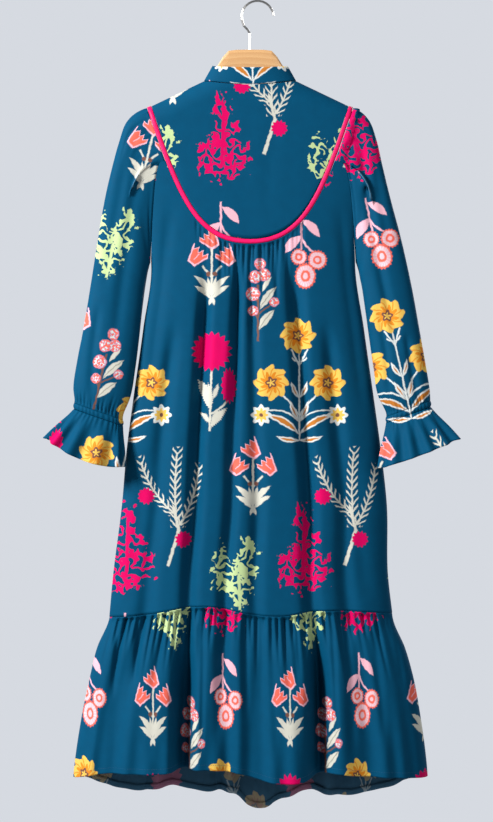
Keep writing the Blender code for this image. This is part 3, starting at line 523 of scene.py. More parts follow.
def hookBuild():
    spot3 = Thread.node("ShaderNodeTexCoord", None, None, "Object")
    smear = Thread.node("ShaderNodeTexNoise", None, {"Vector": spot3, "Scale": 220.0, "Detail": 3.0}, "Fac")
    scratch = Thread.node("ShaderNodeTexNoise", None, {"Vector": vectorSum("MULTIPLY", spot3, (2500.0, 2500.0, 120.0)), "Scale": 1.0, "Detail": 1.0}, "Fac")
    colour = mixColour(smear, (0.30, 0.29, 0.28, 1), (0.46, 0.45, 0.43, 1))
    bump = Thread.node("ShaderNodeBump", None, {"Strength": 0.08, "Distance": 0.0002, "Height": scratch})
    sockets = {"Base Color": colour, "Metallic": 1.0, "Roughness": smear * 0.14 + 0.18, "Normal": bump}
    return Thread.node("ShaderNodeBsdfPrincipled", None, sockets)


hangerLooks = {"hanger_wood": plainMaterial("LacqueredBeech", woodBuild), "hanger_hook": plainMaterial("NickelWire", hookBuild)}
for node, look in hangerLooks.items():
    mesh = frame["nodes"][node].data
    mesh.materials.clear()
    mesh.materials.append(look)
print("hanger finished")


# The dress's form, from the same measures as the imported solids.
def table(columns, rows):
    names = columns.split()
    return [SimpleNamespace(**dict(zip(names, row))) for row in rows]


def readTable(rows, column, at, key="drop"):
    keys = np.array([getattr(row, key) for row in rows])
    values = np.array([getattr(row, column) for row in rows])
    slopes = np.gradient(values, keys)
    at = np.clip(np.asarray(at, float), keys[0], keys[-1])
    i = np.clip(np.searchsorted(keys, at) - 1, 0, len(keys) - 2)
    step = keys[i + 1] - keys[i]
    q = (at - keys[i]) / step
    start = values[i] * (1 + 2 * q) * (1 - q) ** 2 + slopes[i] * step * q * (1 - q) ** 2
    end = values[i + 1] * q * q * (3 - 2 * q) + slopes[i + 1] * step * q * q * (q - 1)
    return start + end


def rise(value):
    q = np.clip(value, 0.0, 1.0)
    return q * q * (3 - 2 * q)


form = {
    "shoulderTip": 0.1631, "shoulderTipDrop": 0.1708, "neckHalf": 0.0755, "neckSideDrop": 0.1290,
    "neckBackDrop": 0.1369, "neckFrontDrop": 0.1920, "shoulderRound": 0.035, "shoulderGap": 0.0005,
    "yokeDepth": 0.2190, "underarmDrop": 0.4200, "armholeCurve": 0.25, "roundness": 2.5, "ringSharpness": 0.35,
    "sleeveStation": 0.22, "pipingWidth": 0.0075, "pipingThick": 0.0040,
}
yokeCurve = np.array([(1.00, 0.00), (0.70, 0.68), (0.52, 1.00), (0.00, 1.00)])

bodySections = table("drop left right depth", [
    (0.090, 0.2150, 0.2150, 0.0200), (0.171, 0.2150, 0.2150, 0.0200), (0.264, 0.1900, 0.1920, 0.0210),
    (0.311, 0.1780, 0.1820, 0.0220), (0.380, 0.1660, 0.1715, 0.0240), (0.420, 0.1604, 0.1700, 0.0255),
    (0.531, 0.1733, 0.1847, 0.0290), (0.645, 0.1895, 0.2009, 0.0340), (0.726, 0.2000, 0.2120, 0.0370),
    (0.813, 0.2074, 0.2215, 0.0410), (0.930, 0.2220, 0.2236, 0.0460), (1.000, 0.2284, 0.2317, 0.0500),
])
tierSections = table("drop left right depth", [
    (0.960, 0.2250, 0.2290, 0.0490), (1.000, 0.2284, 0.2317, 0.0500), (1.046, 0.2479, 0.2510, 0.0560),
    (1.085, 0.2576, 0.2624, 0.0600), (1.163, 0.2738, 0.2770, 0.0660), (1.241, 0.2850, 0.2867, 0.0700),
    (1.320, 0.2900, 0.2900, 0.0720),
])
tierSeams = {
    "back": table("across drop", [(-1.0, 0.9952), (-0.78, 0.9906), (-0.34, 0.9756), (0.1, 0.9900), (0.25, 0.9900), (0.4, 0.9845), (1.0, 0.9880)]),
    "front": table("across drop", [(-1.0, 0.9952), (-0.5, 0.9920), (0.0, 1.0000), (0.5, 0.9920), (1.0, 0.9880)]),
}
hems = {
    "back": table("across drop", [
        (-1.0, 1.2532), (-0.85, 1.2440), (-0.49, 1.2400), (-0.25, 1.2330), (-0.08, 1.2380), (0.12, 1.2530),
        (0.30, 1.2525), (0.44, 1.2400), (0.60, 1.2442), (1.0, 1.2520)]),
    "front": table("across drop", [
        (-1.0, 1.2532), (-0.76, 1.2815), (-0.63, 1.2880), (-0.50, 1.2800), (-0.24, 1.2920), (-0.09, 1.2900),
        (-0.01, 1.3150), (0.08, 1.3190), (0.20, 1.2980), (0.40, 1.2880), (0.53, 1.2965), (0.74, 1.2835), (1.0, 1.2520)]),
}
bodyFolds = {
    "back": table("top bottom depth width start end", [
        (-0.45, -0.44, 0.014, 0.050, 0.42, 1.02), (-0.15, -0.19, 0.012, 0.045, 0.40, 1.02),
        (-0.02, 0.03, 0.007, 0.050, 0.42, 0.80), (0.37, 0.43, 0.014, 0.055, 0.40, 1.02),
        (0.66, 0.68, 0.009, 0.060, 0.50, 1.02), (-0.72, -0.74, 0.008, 0.060, 0.50, 1.02)]),
    "front": table("top bottom depth width start end", [
        (-0.55, -0.58, 0.012, 0.055, 0.42, 1.02), (-0.20, -0.16, 0.010, 0.050, 0.40, 1.02),
        (0.18, 0.12, 0.012, 0.050, 0.40, 1.02), (0.50, 0.52, 0.013, 0.055, 0.42, 1.02)]),
}
tierFolds = {
    "back": table("top bottom depth width start end", [
        (-0.44, -0.37, 0.050, 0.048, 0.98, 1.30), (0.43, 0.37, 0.048, 0.052, 0.98, 1.30),
        (-0.80, -0.80, 0.010, 0.060, 1.00, 1.30), (-0.19, -0.12, 0.010, 0.060, 0.98, 1.30),
        (0.03, 0.02, 0.012, 0.060, 1.00, 1.30), (0.68, 0.64, 0.012, 0.060, 0.98, 1.30)]),
    "front": table("top bottom depth width start end", [
        (-0.58, -0.52, 0.030, 0.050, 0.98, 1.34), (-0.16, -0.10, 0.040, 0.045, 0.98, 1.34),
        (0.12, 0.24, 0.030, 0.050, 0.98, 1.34), (0.52, 0.42, 0.036, 0.050, 0.98, 1.34),
        (0.80, 0.78, 0.012, 0.060, 1.00, 1.34)]),
}


def shoulderDrop(x):
    slope = (form["shoulderTipDrop"] - form["neckSideDrop"]) / (form["shoulderTip"] - form["neckHalf"])
    return form["shoulderTipDrop"] - slope * (form["shoulderTip"] - np.abs(x))


def neckDrop(x, side):
    q = np.clip(1 - (x / form["neckHalf"]) ** 2, 0.0, 1.0)
    if side < 0:
        neck = form["neckSideDrop"] + (form["neckBackDrop"] - form["neckSideDrop"]) * q
    else:
        neck = form["neckSideDrop"] + (form["neckFrontDrop"] - form["neckSideDrop"]) * q**0.6
    return np.where(np.abs(x) < form["neckHalf"], neck, shoulderDrop(x))


def sectionDepth(rows, x, drop):
    left = readTable(rows, "left", drop)
    right = readTable(rows, "right", drop)
    across = np.clip(np.abs((2 * x + left - right) / (left + right)), 0.0, 1.0)
    return readTable(rows, "depth", drop) * (1 - across ** form["roundness"]) ** (1 / form["roundness"])


def torsoDepth(x, drop):
    below = np.clip((drop - shoulderDrop(x)) / form["shoulderRound"], 0.0, 1.0)
    return sectionDepth(bodySections, x, drop) * np.sqrt(1 - (1 - below) ** 2)


def yokeEdge(t, side, offset=0.0):
    across = yokeCurve[:, 0] * form["shoulderTip"]
    down = yokeCurve[:, 1] * form["yokeDepth"]
    weights = np.array([(1 - t) ** 3, 3 * (1 - t) ** 2 * t, 3 * (1 - t) * t**2, t**3])
    rates = np.array([-3 * (1 - t) ** 2, 3 * (1 - t) * (1 - 3 * t), 3 * t * (2 - 3 * t), 3 * t**2])
    dx, dz = rates @ across, rates @ down
    length = math.hypot(dx, dz)
    x = weights @ across + offset * dz / length
    return side * x, form["shoulderTipDrop"] + weights @ down - offset * dx / length


def fullEdge(stations, offset=0.0):
    left = [yokeEdge(t, -1, offset) for t in stations]
    right = [yokeEdge(t, 1, offset) for t in reversed(stations[:-1])]
    return np.array(left + right)


def foldPush(folds, across, drop):
    total = np.zeros(np.broadcast(across, drop).shape)
    for fold in folds:
        q = np.clip((drop - fold.start) / (fold.end - fold.start), 0.0, 1.0)
        place = fold.top + (fold.bottom - fold.top) * q
        fade = rise((drop - fold.start) / 0.10)
        total = total + fold.depth * fade * np.exp(-(((across - place) / fold.width) ** 2))
    return total


def placed(x, y, drop):
    return np.stack(np.broadcast_arrays(centreX + x, y, -np.asarray(drop)), axis=-1)


# Creases given one by one: paths in picture steps down the piece, with depth and half width in millimetres.
def creasePush(creases, x, drop):
    total = np.zeros(np.broadcast(x, drop).shape)
    across = (x + centreX) / printPixel + 257.5
    down = drop / printPixel + 2.0
    for path, depth, width in creases:
        rows = np.array(path, float)
        middle = np.interp(down, rows[:, 1], rows[:, 0])
        inside = (down - rows[0, 1]) / (rows[-1, 1] - rows[0, 1])
        fade = rise(inside / 0.22) * rise((1 - inside) / 0.30)
        total = total + depth / 1000 * fade * np.exp(-(((across - middle) * printPixel * 1000 / width) ** 2))
    return total


def arcPlaces(points, keep=None):
    # the flat cloth's places: along each row from the middle column, and down
    steps = np.linalg.norm(np.diff(points, axis=1), axis=2)
    along = np.concatenate([np.zeros((len(points), 1)), np.cumsum(steps, axis=1)], axis=1)
    middle = points.shape[1] // 2 if keep is None else keep
    return along - along[:, middle : middle + 1]


def clothPiece(name, points, flat, settings, closed=False, flip=False, skip=None):
    rows, columns = points.shape[:2]
    made = bmesh.new()
    verts = [[made.verts.new(p) for p in row] for row in points.tolist()]
    cut = made.loops.layers.uv.new("cut")
    for i in range(rows - 1):
        for j in range(columns if closed else columns - 1):
            if skip is not None and skip[i, j]:
                continue
            k = (j + 1) % columns
            corners = [(i, j), (i + 1, j), (i + 1, k), (i, k)]
            wrapped = [(i, j), (i + 1, j), (i + 1, j + 1), (i, j + 1)]
            if flip:
                corners, wrapped = corners[::-1], wrapped[::-1]
            face = made.faces.new([verts[a][b] for a, b in corners])
            face.smooth = True
            for loop, (a, b) in zip(face.loops, wrapped):
                loop[cut].uv = flat[a, b]
    bmesh.ops.delete(made, geom=[v for v in made.verts if not v.link_faces], context="VERTS")
    mesh = bpy.data.meshes.new(name)
    made.to_mesh(mesh)
    made.free()
    piece = bpy.data.objects.new(name, mesh)
    scene.collection.objects.link(piece)
    mesh.materials.append(rightCloth)
    mesh.materials.append(wrongCloth)
    wall = piece.modifiers.new("Cloth thickness", "SOLIDIFY")
    wall.thickness = settings.get("thick", clothThick)
    wall.offset = -1
    wall.material_offset = 1
    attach(piece, "root")
    return piece


def declareCloth(piece, cut, area=None):
    # cut is the flat cloth's width and length before it was gathered
    print(piece.name, "%.2f of its flat cloth" % (meshArea(piece) / (area or cut[0] * cut[1])))


def gridNormals(points, away):
    normal = np.cross(np.gradient(points, axis=1), np.gradient(points, axis=0))
    normal /= np.maximum(np.linalg.norm(normal, axis=-1, keepdims=True), 1e-9)
    return normal * away


def seamLine(points, lift, away):
    # a line that lies lift metres above a grid's last row, with the cloth's outward direction
    steps = np.linalg.norm(np.diff(points, axis=0), axis=2)[::-1]
    along = np.concatenate([np.zeros((1, points.shape[1])), np.cumsum(steps, axis=0)], axis=0)
    upward, normals = points[::-1], gridNormals(points, away)[::-1]
    line, out = [], []
    for j in range(points.shape[1]):
        line.append([np.interp(lift, along[:, j], upward[:, j, k]) for k in range(3)])
        out.append([np.interp(lift, along[:, j], normals[:, j, k]) for k in range(3)])
    return np.array(line), np.array(out)


stitchSettings = {"pitch": 0.0028, "length": 0.0020, "width": 0.00035, "raise": 0.00012}


def stitched(name, lines, settings):
    # small tapered stitches along one or more lines
    mesh = bpy.data.meshes.new(name)
    verts, faces = [], []
    for line, out in lines:
        steps = np.concatenate([[0], np.cumsum(np.linalg.norm(np.diff(line, axis=0), axis=1))])
        for at in np.arange(settings["pitch"] / 2, steps[-1], settings["pitch"]):
            ends = [np.array([np.interp(at + d, steps, line[:, k]) for k in range(3)]) for d in (-0.5 * settings["length"], 0, 0.5 * settings["length"])]
            normal = np.array([np.interp(at, steps, out[:, k]) for k in range(3)])
            normal /= max(np.linalg.norm(normal), 1e-9)
            aside = np.cross(ends[2] - ends[0], normal)
            aside *= settings["width"] / max(np.linalg.norm(aside), 1e-9)
            base = len(verts)
            top = ends[1] + normal * (settings["width"] * 0.7 + settings["raise"])
            verts += [ends[0].tolist(), (ends[1] + aside).tolist(), ends[2].tolist(), (ends[1] - aside).tolist(), top.tolist(), (ends[1] - normal * 0.0002).tolist()]
            for a, b in ((0, 1), (1, 2), (2, 3), (3, 0)):
                faces += [(base + a, base + b, base + 4), (base + b, base + a, base + 5)]
    mesh.from_pydata(verts, [], faces)
    mesh.materials.append(sewingThread)
    piece = bpy.data.objects.new(name, mesh)
    scene.collection.objects.link(piece)
    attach(piece, "root")
    return piece


def turnedHem(name, points, flat, height, away, closed=False):
    # the hem's allowance, turned up inside with its right side to the inside
    lift = np.linspace(0.0, height, 4)
    rows = [seamLine(points, float(q), away) for q in lift]
    inward = np.array([line - out * (2 * clothThick + 0.0004) for line, out in rows])
    places = np.repeat(flat[-1:], 4, axis=0) - np.stack([0 * lift, lift], axis=-1)[:, None, :]
    return clothPiece(name, inward, places, {"thick": 0.0006}, closed=closed, flip=away < 0)


def meshArea(piece):
    return sum(p.area for p in piece.data.polygons)



# Yoke
yokeSettings = {
    "columns": 90, "rows": 56, "crowding": 1.7, "slitHalf": 0.0015, "slitEnd": 0.3300,
    "printAt": {"back": (80.0, 408.0), "front": (30.0, 300.0)},
    "creases": {
        "back": [
            ([(170, 150), (176, 190), (196, 226)], 1.2, 9), ([(330, 140), (326, 180), (306, 222)], 1.2, 9),
            ([(226, 92), (228, 130), (236, 200)], 0.8, 8), ([(275, 92), (272, 140), (264, 225)], 0.9, 9),
            ([(244, 150), (247, 200), (249, 238)], 0.7, 6),
        ],
        "front": [
            ([(176, 150), (186, 190), (204, 228)], 1.2, 9), ([(326, 140), (318, 180), (298, 226)], 1.2, 9),
            ([(262, 150), (260, 190), (256, 236)], 0.8, 8),
        ],
    },
}


def stationList(count, power=1.9):
    # close together where the edge rolls over the shoulder
    return [float(q) ** power for q in np.linspace(0, 1, count)]


def chartFlat(across, down, shift):
    # the print's own places, so that the garment's plain view shows the chart moved by shift steps
    return np.stack([across + (257.5 + shift[0]) * printPixel, down + (2.0 + shift[1]) * printPixel], axis=-1)


def makeYoke(side, settings):
    face = "back" if side < 0 else "front"
    low = fullEdge(stationList(settings["columns"] // 2), -(form["pipingWidth"] / 2 + seamGap))[2:-2]
    lowX, lowDrop = low[:, 0].copy(), low[:, 1]
    middle = len(lowX) // 2
    if side > 0:
        lowX[middle - 1], lowX[middle + 1] = -settings["slitHalf"], settings["slitHalf"]
    topX = lowX.copy()
    for edge in (-form["neckHalf"], form["neckHalf"]):
        topX[np.argmin(np.abs(topX - edge))] = edge
    top = neckDrop(topX, side)
    shares = (np.linspace(0, 1, settings["rows"]) ** settings["crowding"])[:, None]
    x = topX + (lowX - topX) * shares
    drop = top + (lowDrop - top) * shares
    y = side * (torsoDepth(x, drop) + form["shoulderGap"] - creasePush(settings["creases"][face], x, drop))
    skip = None
    if side > 0:
        skip = np.zeros((len(x) - 1, x.shape[1] - 1), bool)
        for column in (middle - 1, middle):
            skip[:, column] = drop[1:, middle] < settings["slitEnd"]
    flat = chartFlat(-side * (centreX + x), drop, settings["printAt"][face])
    piece = clothPiece(f"{face}_yoke_cloth", placed(x, y, drop), flat, settings, flip=side > 0, skip=skip)
    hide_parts(f"{face}_yoke")
    return piece


yokes = {side: makeYoke(side, yokeSettings) for side in (-1, 1)}
print("yokes made")


# Body: gathered under the yoke's curve, with the troughs that the gathers run into
bodySettings = {
    "columns": 200, "rows": 190, "gatherSeed": 7, "printAt": {"back": (0.0, 0.0), "front": (60.0, 120.0)},
    "gatherLength": {"back": 0.085, "front": 0.085},
    "creases": {
        "back": [
            ([(236.5, 243), (237, 290), (237, 345), (234, 430)], 5.0, 3.4), ([(249.5, 242), (250, 280), (252, 350)], 3.4, 3.0),
            ([(205, 232), (203, 300), (198, 420), (190, 560), (187, 612)], 5.0, 9.0),
            ([(297, 232), (300, 290), (303, 400), (309, 530), (312, 612)], 5.0, 9.0),
            ([(262, 241), (262, 300)], 2.2, 3.0), ([(275, 240), (277, 310)], 2.4, 3.4), ([(286, 237), (289, 300)], 2.0, 3.4),
            ([(222, 238), (221, 300)], 2.2, 4.0), ([(174, 190), (160, 290), (146, 420)], 2.5, 11),
            ([(340, 196), (350, 300), (366, 430)], 2.5, 11), ([(150, 440), (136, 560), (130, 614)], 3.0, 13),
            ([(352, 440), (360, 560), (366, 612)], 3.0, 13), ([(252, 430), (255, 540), (257, 614)], 2.6, 12),
        ],
        "front": [
            ([(225, 243), (224, 290), (220, 400)], 4.0, 5.0), ([(278, 243), (281, 290), (286, 420)], 4.0, 5.0),
            ([(200, 232), (194, 330), (180, 500)], 4.0, 9), ([(306, 232), (312, 330), (326, 500)], 4.0, 9),
            ([(250, 300), (252, 450), (250, 600)], 2.6, 10), ([(150, 420), (138, 540), (130, 612)], 3.0, 13),
            ([(350, 420), (360, 540), (368, 612)], 3.0, 13),
        ],
    },
}


def bodyEdges(drop):
    corner = yokeEdge(form["sleeveStation"], -1, form["pipingWidth"] / 2 + seamGap)
    q = np.clip((drop - corner[1]) / (form["underarmDrop"] - corner[1]), 0.0, 1.0) ** form["armholeCurve"]
    sides = []
    for column in ("left", "right"):
        low = readTable(bodySections, column, form["underarmDrop"])
        armhole = -corner[0] + (low + corner[0]) * q
        sides.append(np.where(drop < form["underarmDrop"], armhole, readTable(bodySections, column, drop)))
    return sides


def topDrops(across, top):
    high = np.full(len(across), top[:, 1].min())
    low = np.full(len(across), top[:, 1].max())
    for step in range(40):
        middle = (high + low) / 2
        left, right = bodyEdges(middle)
        x = (right - left) / 2 + across * (left + right) / 2
        above = middle < np.interp(x, top[:, 0], top[:, 1])
        high = np.where(above, middle, high)
        low = np.where(above, low, middle)
    return (high + low) / 2


def edgeColumns(count):
    inner = np.linspace(-0.985, 0.985, count - 4)
    return np.concatenate([[-1.0, -0.9985], inner, [0.9985, 1.0]])


def gatherRidges(seed, places, widths, lengths, depths):
    # uneven little tucks: where each is, how wide, how long and how deep
    chance = np.random.default_rng(seed)
    count = len(places)
    return list(zip(
        places + (widths[0] + widths[1]) * 0.35 * chance.uniform(-1, 1, count),
        chance.uniform(*widths, count), chance.uniform(*lengths, count), chance.uniform(*depths, count),
    ))


def tuckPush(tucks, place, below, drift=0.0):
    total = np.zeros(np.broadcast(place, below).shape)
    for middle, width, length, depth in tucks:
        fade = rise(below / 0.006) * (1 - rise(below / length))
        total = total + depth * fade * np.exp(-(((place - middle - drift * below) / width) ** 2))
    return total


def makeBody(side, settings):
    face = "back" if side < 0 else "front"
    corner = form["sleeveStation"]
    stations = [corner + (1 - corner) * q for q in np.linspace(0, 1, 60)]
    top = fullEdge(stations, form["pipingWidth"] / 2 + seamGap)
    across = edgeColumns(settings["columns"])
    topDrop = topDrops(across, top)
    bottom = readTable(tierSeams[face], "drop", across, key="across") - seamGap / 2
    shares = (np.linspace(0, 1, settings["rows"]) ** 1.25)[:, None]
    drop = topDrop + (bottom - topDrop) * shares
    left, right = bodyEdges(drop)
    x = (right - left) / 2 + across * (left + right) / 2
    calm = np.clip((1 - np.abs(across)) / 0.12, 0.0, 1.0)
    steady = np.minimum(drop, bottom - 0.002)
    y = torsoDepth(x, drop) + seamGap - foldPush(bodyFolds[face], across, steady) * calm
    below = drop - topDrop
    fine = creasePush(settings["creases"][face], x, drop) * rise(below / 0.010) * (1 - rise((drop - bottom + 0.030) / 0.030) * 0.6)
    spots = np.arange(-0.086, 0.087, 0.0078)
    tucks = gatherRidges(settings["gatherSeed"] + side, spots, (0.0017, 0.0026), (0.035, settings["gatherLength"][face]), (0.0026, 0.0052))
    softer = 1 - 0.6 * rise((np.abs(x) - 0.035) / 0.03)
    y = y - (fine + tuckPush(tucks, x, below) * softer) * calm
    flat = chartFlat(-side * (centreX + x), drop, settings["printAt"][face])
    piece = clothPiece(f"{face}_body_cloth", placed(x, side * y, drop), flat, settings, flip=side > 0)
    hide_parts(f"{face}_body")
    return piece


bodies = {side: makeBody(side, bodySettings) for side in (-1, 1)}
print("body made")


# Hem tier: gathered into the body's lower edge, with two deep folds behind
tierSettings = {
    "columns": 330, "rows": 64, "gatherPitch": 0.0105, "gatherSeed": 21, "hemWaves": 17,
    "printAt": {"back": (78.5, -39.0), "front": (20.0, -39.0)}, "hemBand": 0.010, "printCrowding": 1.3,
    "creases": {
        "back": [
            ([(119, 617), (118, 650), (114, 700)], 4.0, 5), ([(139, 615), (139, 640), (136, 690)], 3.6, 4.5),
            ([(160, 612), (158, 660), (150, 770)], 3.0, 9), ([(222, 610), (222, 660), (216, 760)], 3.0, 8),
            ([(244, 612), (245, 650), (246, 720)], 3.0, 6), ([(270, 614), (272, 660), (276, 770)], 3.4, 8),
            ([(292, 612), (294, 640), (297, 690)], 3.0, 5), ([(345, 612), (347, 660), (352, 760)], 3.4, 8),
            ([(372, 613), (376, 660), (384, 750)], 3.4, 7), ([(390, 613), (396, 640), (404, 690)], 2.6, 5),
            ([(97, 660), (92, 720), (88, 770)], 3.0, 9), ([(189, 600), (190, 680), (188, 790)], 12.0, 6.5),
            ([(312, 600), (317, 680), (320, 790)], 12.0, 6.5), ([(205, 612), (204, 660), (202, 760)], 3.0, 4),
            ([(330, 612), (333, 660), (336, 760)], 3.0, 4),
        ],
        "front": [
            ([(124, 617), (122, 660), (112, 760)], 3.4, 7), ([(160, 615), (158, 660), (150, 740)], 3.4, 6),
            ([(214, 618), (214, 670), (208, 780)], 3.2, 8), ([(262, 620), (264, 660), (266, 730)], 3.2, 6),
            ([(300, 618), (304, 670), (312, 780)], 3.2, 8), ([(352, 615), (357, 660), (366, 760)], 3.4, 7),
            ([(384, 613), (390, 650), (398, 720)], 3.0, 5),
        ],
    },
}


def makeTier(side, settings):
    face = "back" if side < 0 else "front"
    q = np.linspace(-0.992, 0.992, settings["columns"] - 4)
    inner = 0.62 * q + 0.38 * np.sin(q * math.pi / 2)
    across = np.concatenate([[-1.0, -0.9985], inner, [0.9985, 1.0]])
    top = readTable(tierSeams[face], "drop", across, key="across") + seamGap / 2
    bottom = readTable(hems[face], "drop", across, key="across")
    shares = np.concatenate([np.linspace(0, 1, settings["rows"] - 1) ** 1.15, [0.992]])
    shares = np.sort(shares)[:, None]
    drop = top + (bottom - top) * shares
    left = readTable(tierSections, "left", drop)
    right = readTable(tierSections, "right", drop)
    x = (right - left) / 2 + across * (left + right) / 2
    calm = np.clip((1 - np.abs(across)) / 0.12, 0.0, 1.0)
    steady = np.maximum(drop, top + 0.002)
    below = steady - top - 0.002
    grown = rise(below / 0.16)
    seamPush = foldPush(bodyFolds[face], across, top - 0.002) * (1 - grown)
    y = sectionDepth(tierSections, x, drop) + seamGap - (seamPush + foldPush(tierFolds[face], across, steady) * grown) * calm
    width = 0.46
    spots = np.arange(-width / 2, width / 2, settings["gatherPitch"])
    tucks = gatherRidges(settings["gatherSeed"] + side, spots, (0.0022, 0.0036), (0.03, 0.13), (0.0036, 0.0080))
    tucks += gatherRidges(settings["gatherSeed"] + 5 * side, spots[::3], (0.0050, 0.0080), (0.10, 0.24), (0.0030, 0.0060))
    spread = x / (1 + 1.1 * np.clip(below, 0, 0.3))
    fine = tuckPush(tucks, spread, drop - top) + creasePush(settings["creases"][face], x, drop)
    wave = np.sin(across * math.pi * settings["hemWaves"] + 1.3 * np.sin(across * 7.0)) * 0.0018 * rise((below - 0.08) / 0.16)
    y = y - (fine - wave) * calm
    points = placed(x, side * y, drop)
    # gathering packs the print closer together across the tier
    flat = chartFlat(-side * (centreX + x + 0.0122) * settings["printCrowding"], drop, settings["printAt"][face])
    piece = clothPiece(f"{face}_tier_cloth", points, flat, settings, flip=side > 0)
    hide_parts(f"{face}_tier")
    return piece, points, flat


tiers = {side: makeTier(side, tierSettings) for side in (-1, 1)}
print("tier made")


# Sleeves: from the armhole seam down to the cuff's elastic
sleeveSettings = {
    "left": {
        "side": -1, "rows": 120, "gatherSeed": 3, "printAt": (150, 150), "chartAt": (253, 472), "lean": -13.0,
        "creases": {
            "back": [
                ([(141, 130), (134, 200), (122, 290), (112, 380)], 3.0, 10), ([(128, 150), (116, 220), (104, 300)], 2.2, 9),
                ([(152, 250), (146, 320), (134, 400)], 2.6, 7), ([(100, 300), (94, 350), (92, 408)], 2.6, 7),
            ],
            "front": [([(134, 140), (124, 240), (110, 360)], 3.0, 10), ([(150, 240), (142, 320), (130, 400)], 2.6, 8)],
        },
        "rings": [
            (0.1860, 0.1790, 0.1622, 0.4235, 0.0180, 0.000, 0.75), (0.2009, 0.1944, 0.1632, 0.4275, 0.0190, 0.000, 0.50),
            (0.2122, 0.2268, 0.1642, 0.4315, 0.0200, 0.000, 0.25), (0.2228, 0.2657, 0.1654, 0.4360, 0.0205, 0.000, 0.10),
            (0.2341, 0.3143, 0.1672, 0.4460, 0.0210, 0.000, 0.00), (0.2454, 0.3791, 0.1700, 0.4633, 0.0220, 0.000, 0.00),
            (0.2576, 0.4568, 0.1745, 0.4990, 0.0225, 0.002, 0.00), (0.2697, 0.5314, 0.1806, 0.5557, 0.0230, 0.005, 0.00),
            (0.2790, 0.5800, 0.1855, 0.5950, 0.0230, 0.008, 0.00), (0.2851, 0.6253, 0.1938, 0.6420, 0.0220, 0.012, 0.00)],
        "cuff": [
            (0.2835, 0.6496, 0.2052, 0.6770, 0.0190, 0.015, 0.000), (0.2835, 0.6593, 0.2052, 0.6867, 0.0190, 0.015, 0.000),
            (0.3289, 0.7047, 0.2035, 0.7520, 0.0270, 0.028, 0.013)],
    },
    "right": {
        "side": 1, "rows": 120, "gatherSeed": 9, "printAt": (352, 141), "chartAt": (301, 552), "lean": 12.0,
        "creases": {
            "back": [
                ([(357, 117), (359, 127), (362, 150), (364, 170), (368, 210), (381, 280), (392, 330), (400, 372)], 5.0, 8),
                ([(348, 128), (348.5, 165), (350, 182), (353, 206)], 4.5, 2.6), ([(341, 147), (344, 171), (348, 200)], 3.0, 2.2),
                ([(376, 300), (384, 350), (388, 402)], 3.0, 6), ([(404, 330), (410, 370), (416, 404)], 3.2, 6),
                ([(372, 140), (380, 200), (392, 270)], 1.8, 8),
            ],
            "front": [([(362, 140), (372, 240), (394, 380)], 4.0, 9), ([(384, 240), (396, 320), (410, 400)], 2.6, 8)],
        },
        "rings": [
            (0.1820, 0.1782, 0.1720, 0.4235, 0.0180, 0.000, 0.75), (0.1944, 0.1928, 0.1732, 0.4275, 0.0190, 0.000, 0.50),
            (0.2041, 0.2203, 0.1744, 0.4315, 0.0200, 0.000, 0.25), (0.2138, 0.2624, 0.1758, 0.4360, 0.0205, 0.000, 0.10),
            (0.2252, 0.3110, 0.1776, 0.4460, 0.0210, 0.002, 0.00), (0.2430, 0.3791, 0.1810, 0.4633, 0.0220, 0.004, 0.00),
            (0.2600, 0.4568, 0.1860, 0.4990, 0.0225, 0.008, 0.00), (0.2730, 0.5314, 0.1935, 0.5557, 0.0230, 0.014, 0.00),
            (0.2811, 0.5800, 0.1990, 0.5950, 0.0230, 0.020, 0.00), (0.2884, 0.6286, 0.2070, 0.6420, 0.0220, 0.026, 0.00)],
        "cuff": [
            (0.2892, 0.6464, 0.2187, 0.6715, 0.0190, 0.029, 0.000), (0.2892, 0.6561, 0.2187, 0.6812, 0.0190, 0.029, 0.000),
            (0.3321, 0.7063, 0.2060, 0.7533, 0.0260, 0.052, 0.003)],
    },
}
ringColumns = "outer outerDrop inner innerDrop depth forward follow"
cuffColumns = "outer outerDrop inner innerDrop depth forward bow"


def armholeLine(side):
    offset = form["pipingWidth"] / 2 + seamGap
    edge = np.array([yokeEdge(form["sleeveStation"] * q, -1, offset) for q in np.linspace(0, 1, 26) ** 1.6])
    lower = np.linspace(edge[-1, 1], form["underarmDrop"], 36)[1:]
    drops = np.concatenate([edge[:, 1], lower])
    x = np.concatenate([-edge[:, 0], bodyEdges(lower)[0 if side < 0 else 1]])
    return x, torsoDepth(side * x, drops), drops


def ringShape(ring, shares):
    x = ring.inner + (ring.outer - ring.inner) * shares
    full = 4 * shares * (1 - shares)
    drop = ring.innerDrop + (ring.outerDrop - ring.innerDrop) * shares + getattr(ring, "bow", 0.0) * full
    return x, ring.depth * np.clip(full, 0, 1) ** form["ringSharpness"], drop


def closedRing(x, depth, drop, side, forward):
    depth = np.append(depth[:-1], depth[-1] + 0.0008)
    back = placed(side * x, -depth - forward, drop)
    front = placed(side * x, depth - forward, drop)
    return np.concatenate([back, front[:0:-1]])


def ringOutward(ring):
    around = np.roll(ring, -1, axis=0) - np.roll(ring, 1, axis=0)
    away = np.cross(around, (0, 0, 1.0))
    away /= np.maximum(np.linalg.norm(away, axis=1, keepdims=True), 1e-9)
    sign = np.sign(np.sum(away * (ring - ring.mean(axis=0)), axis=1).mean())
    return away * sign


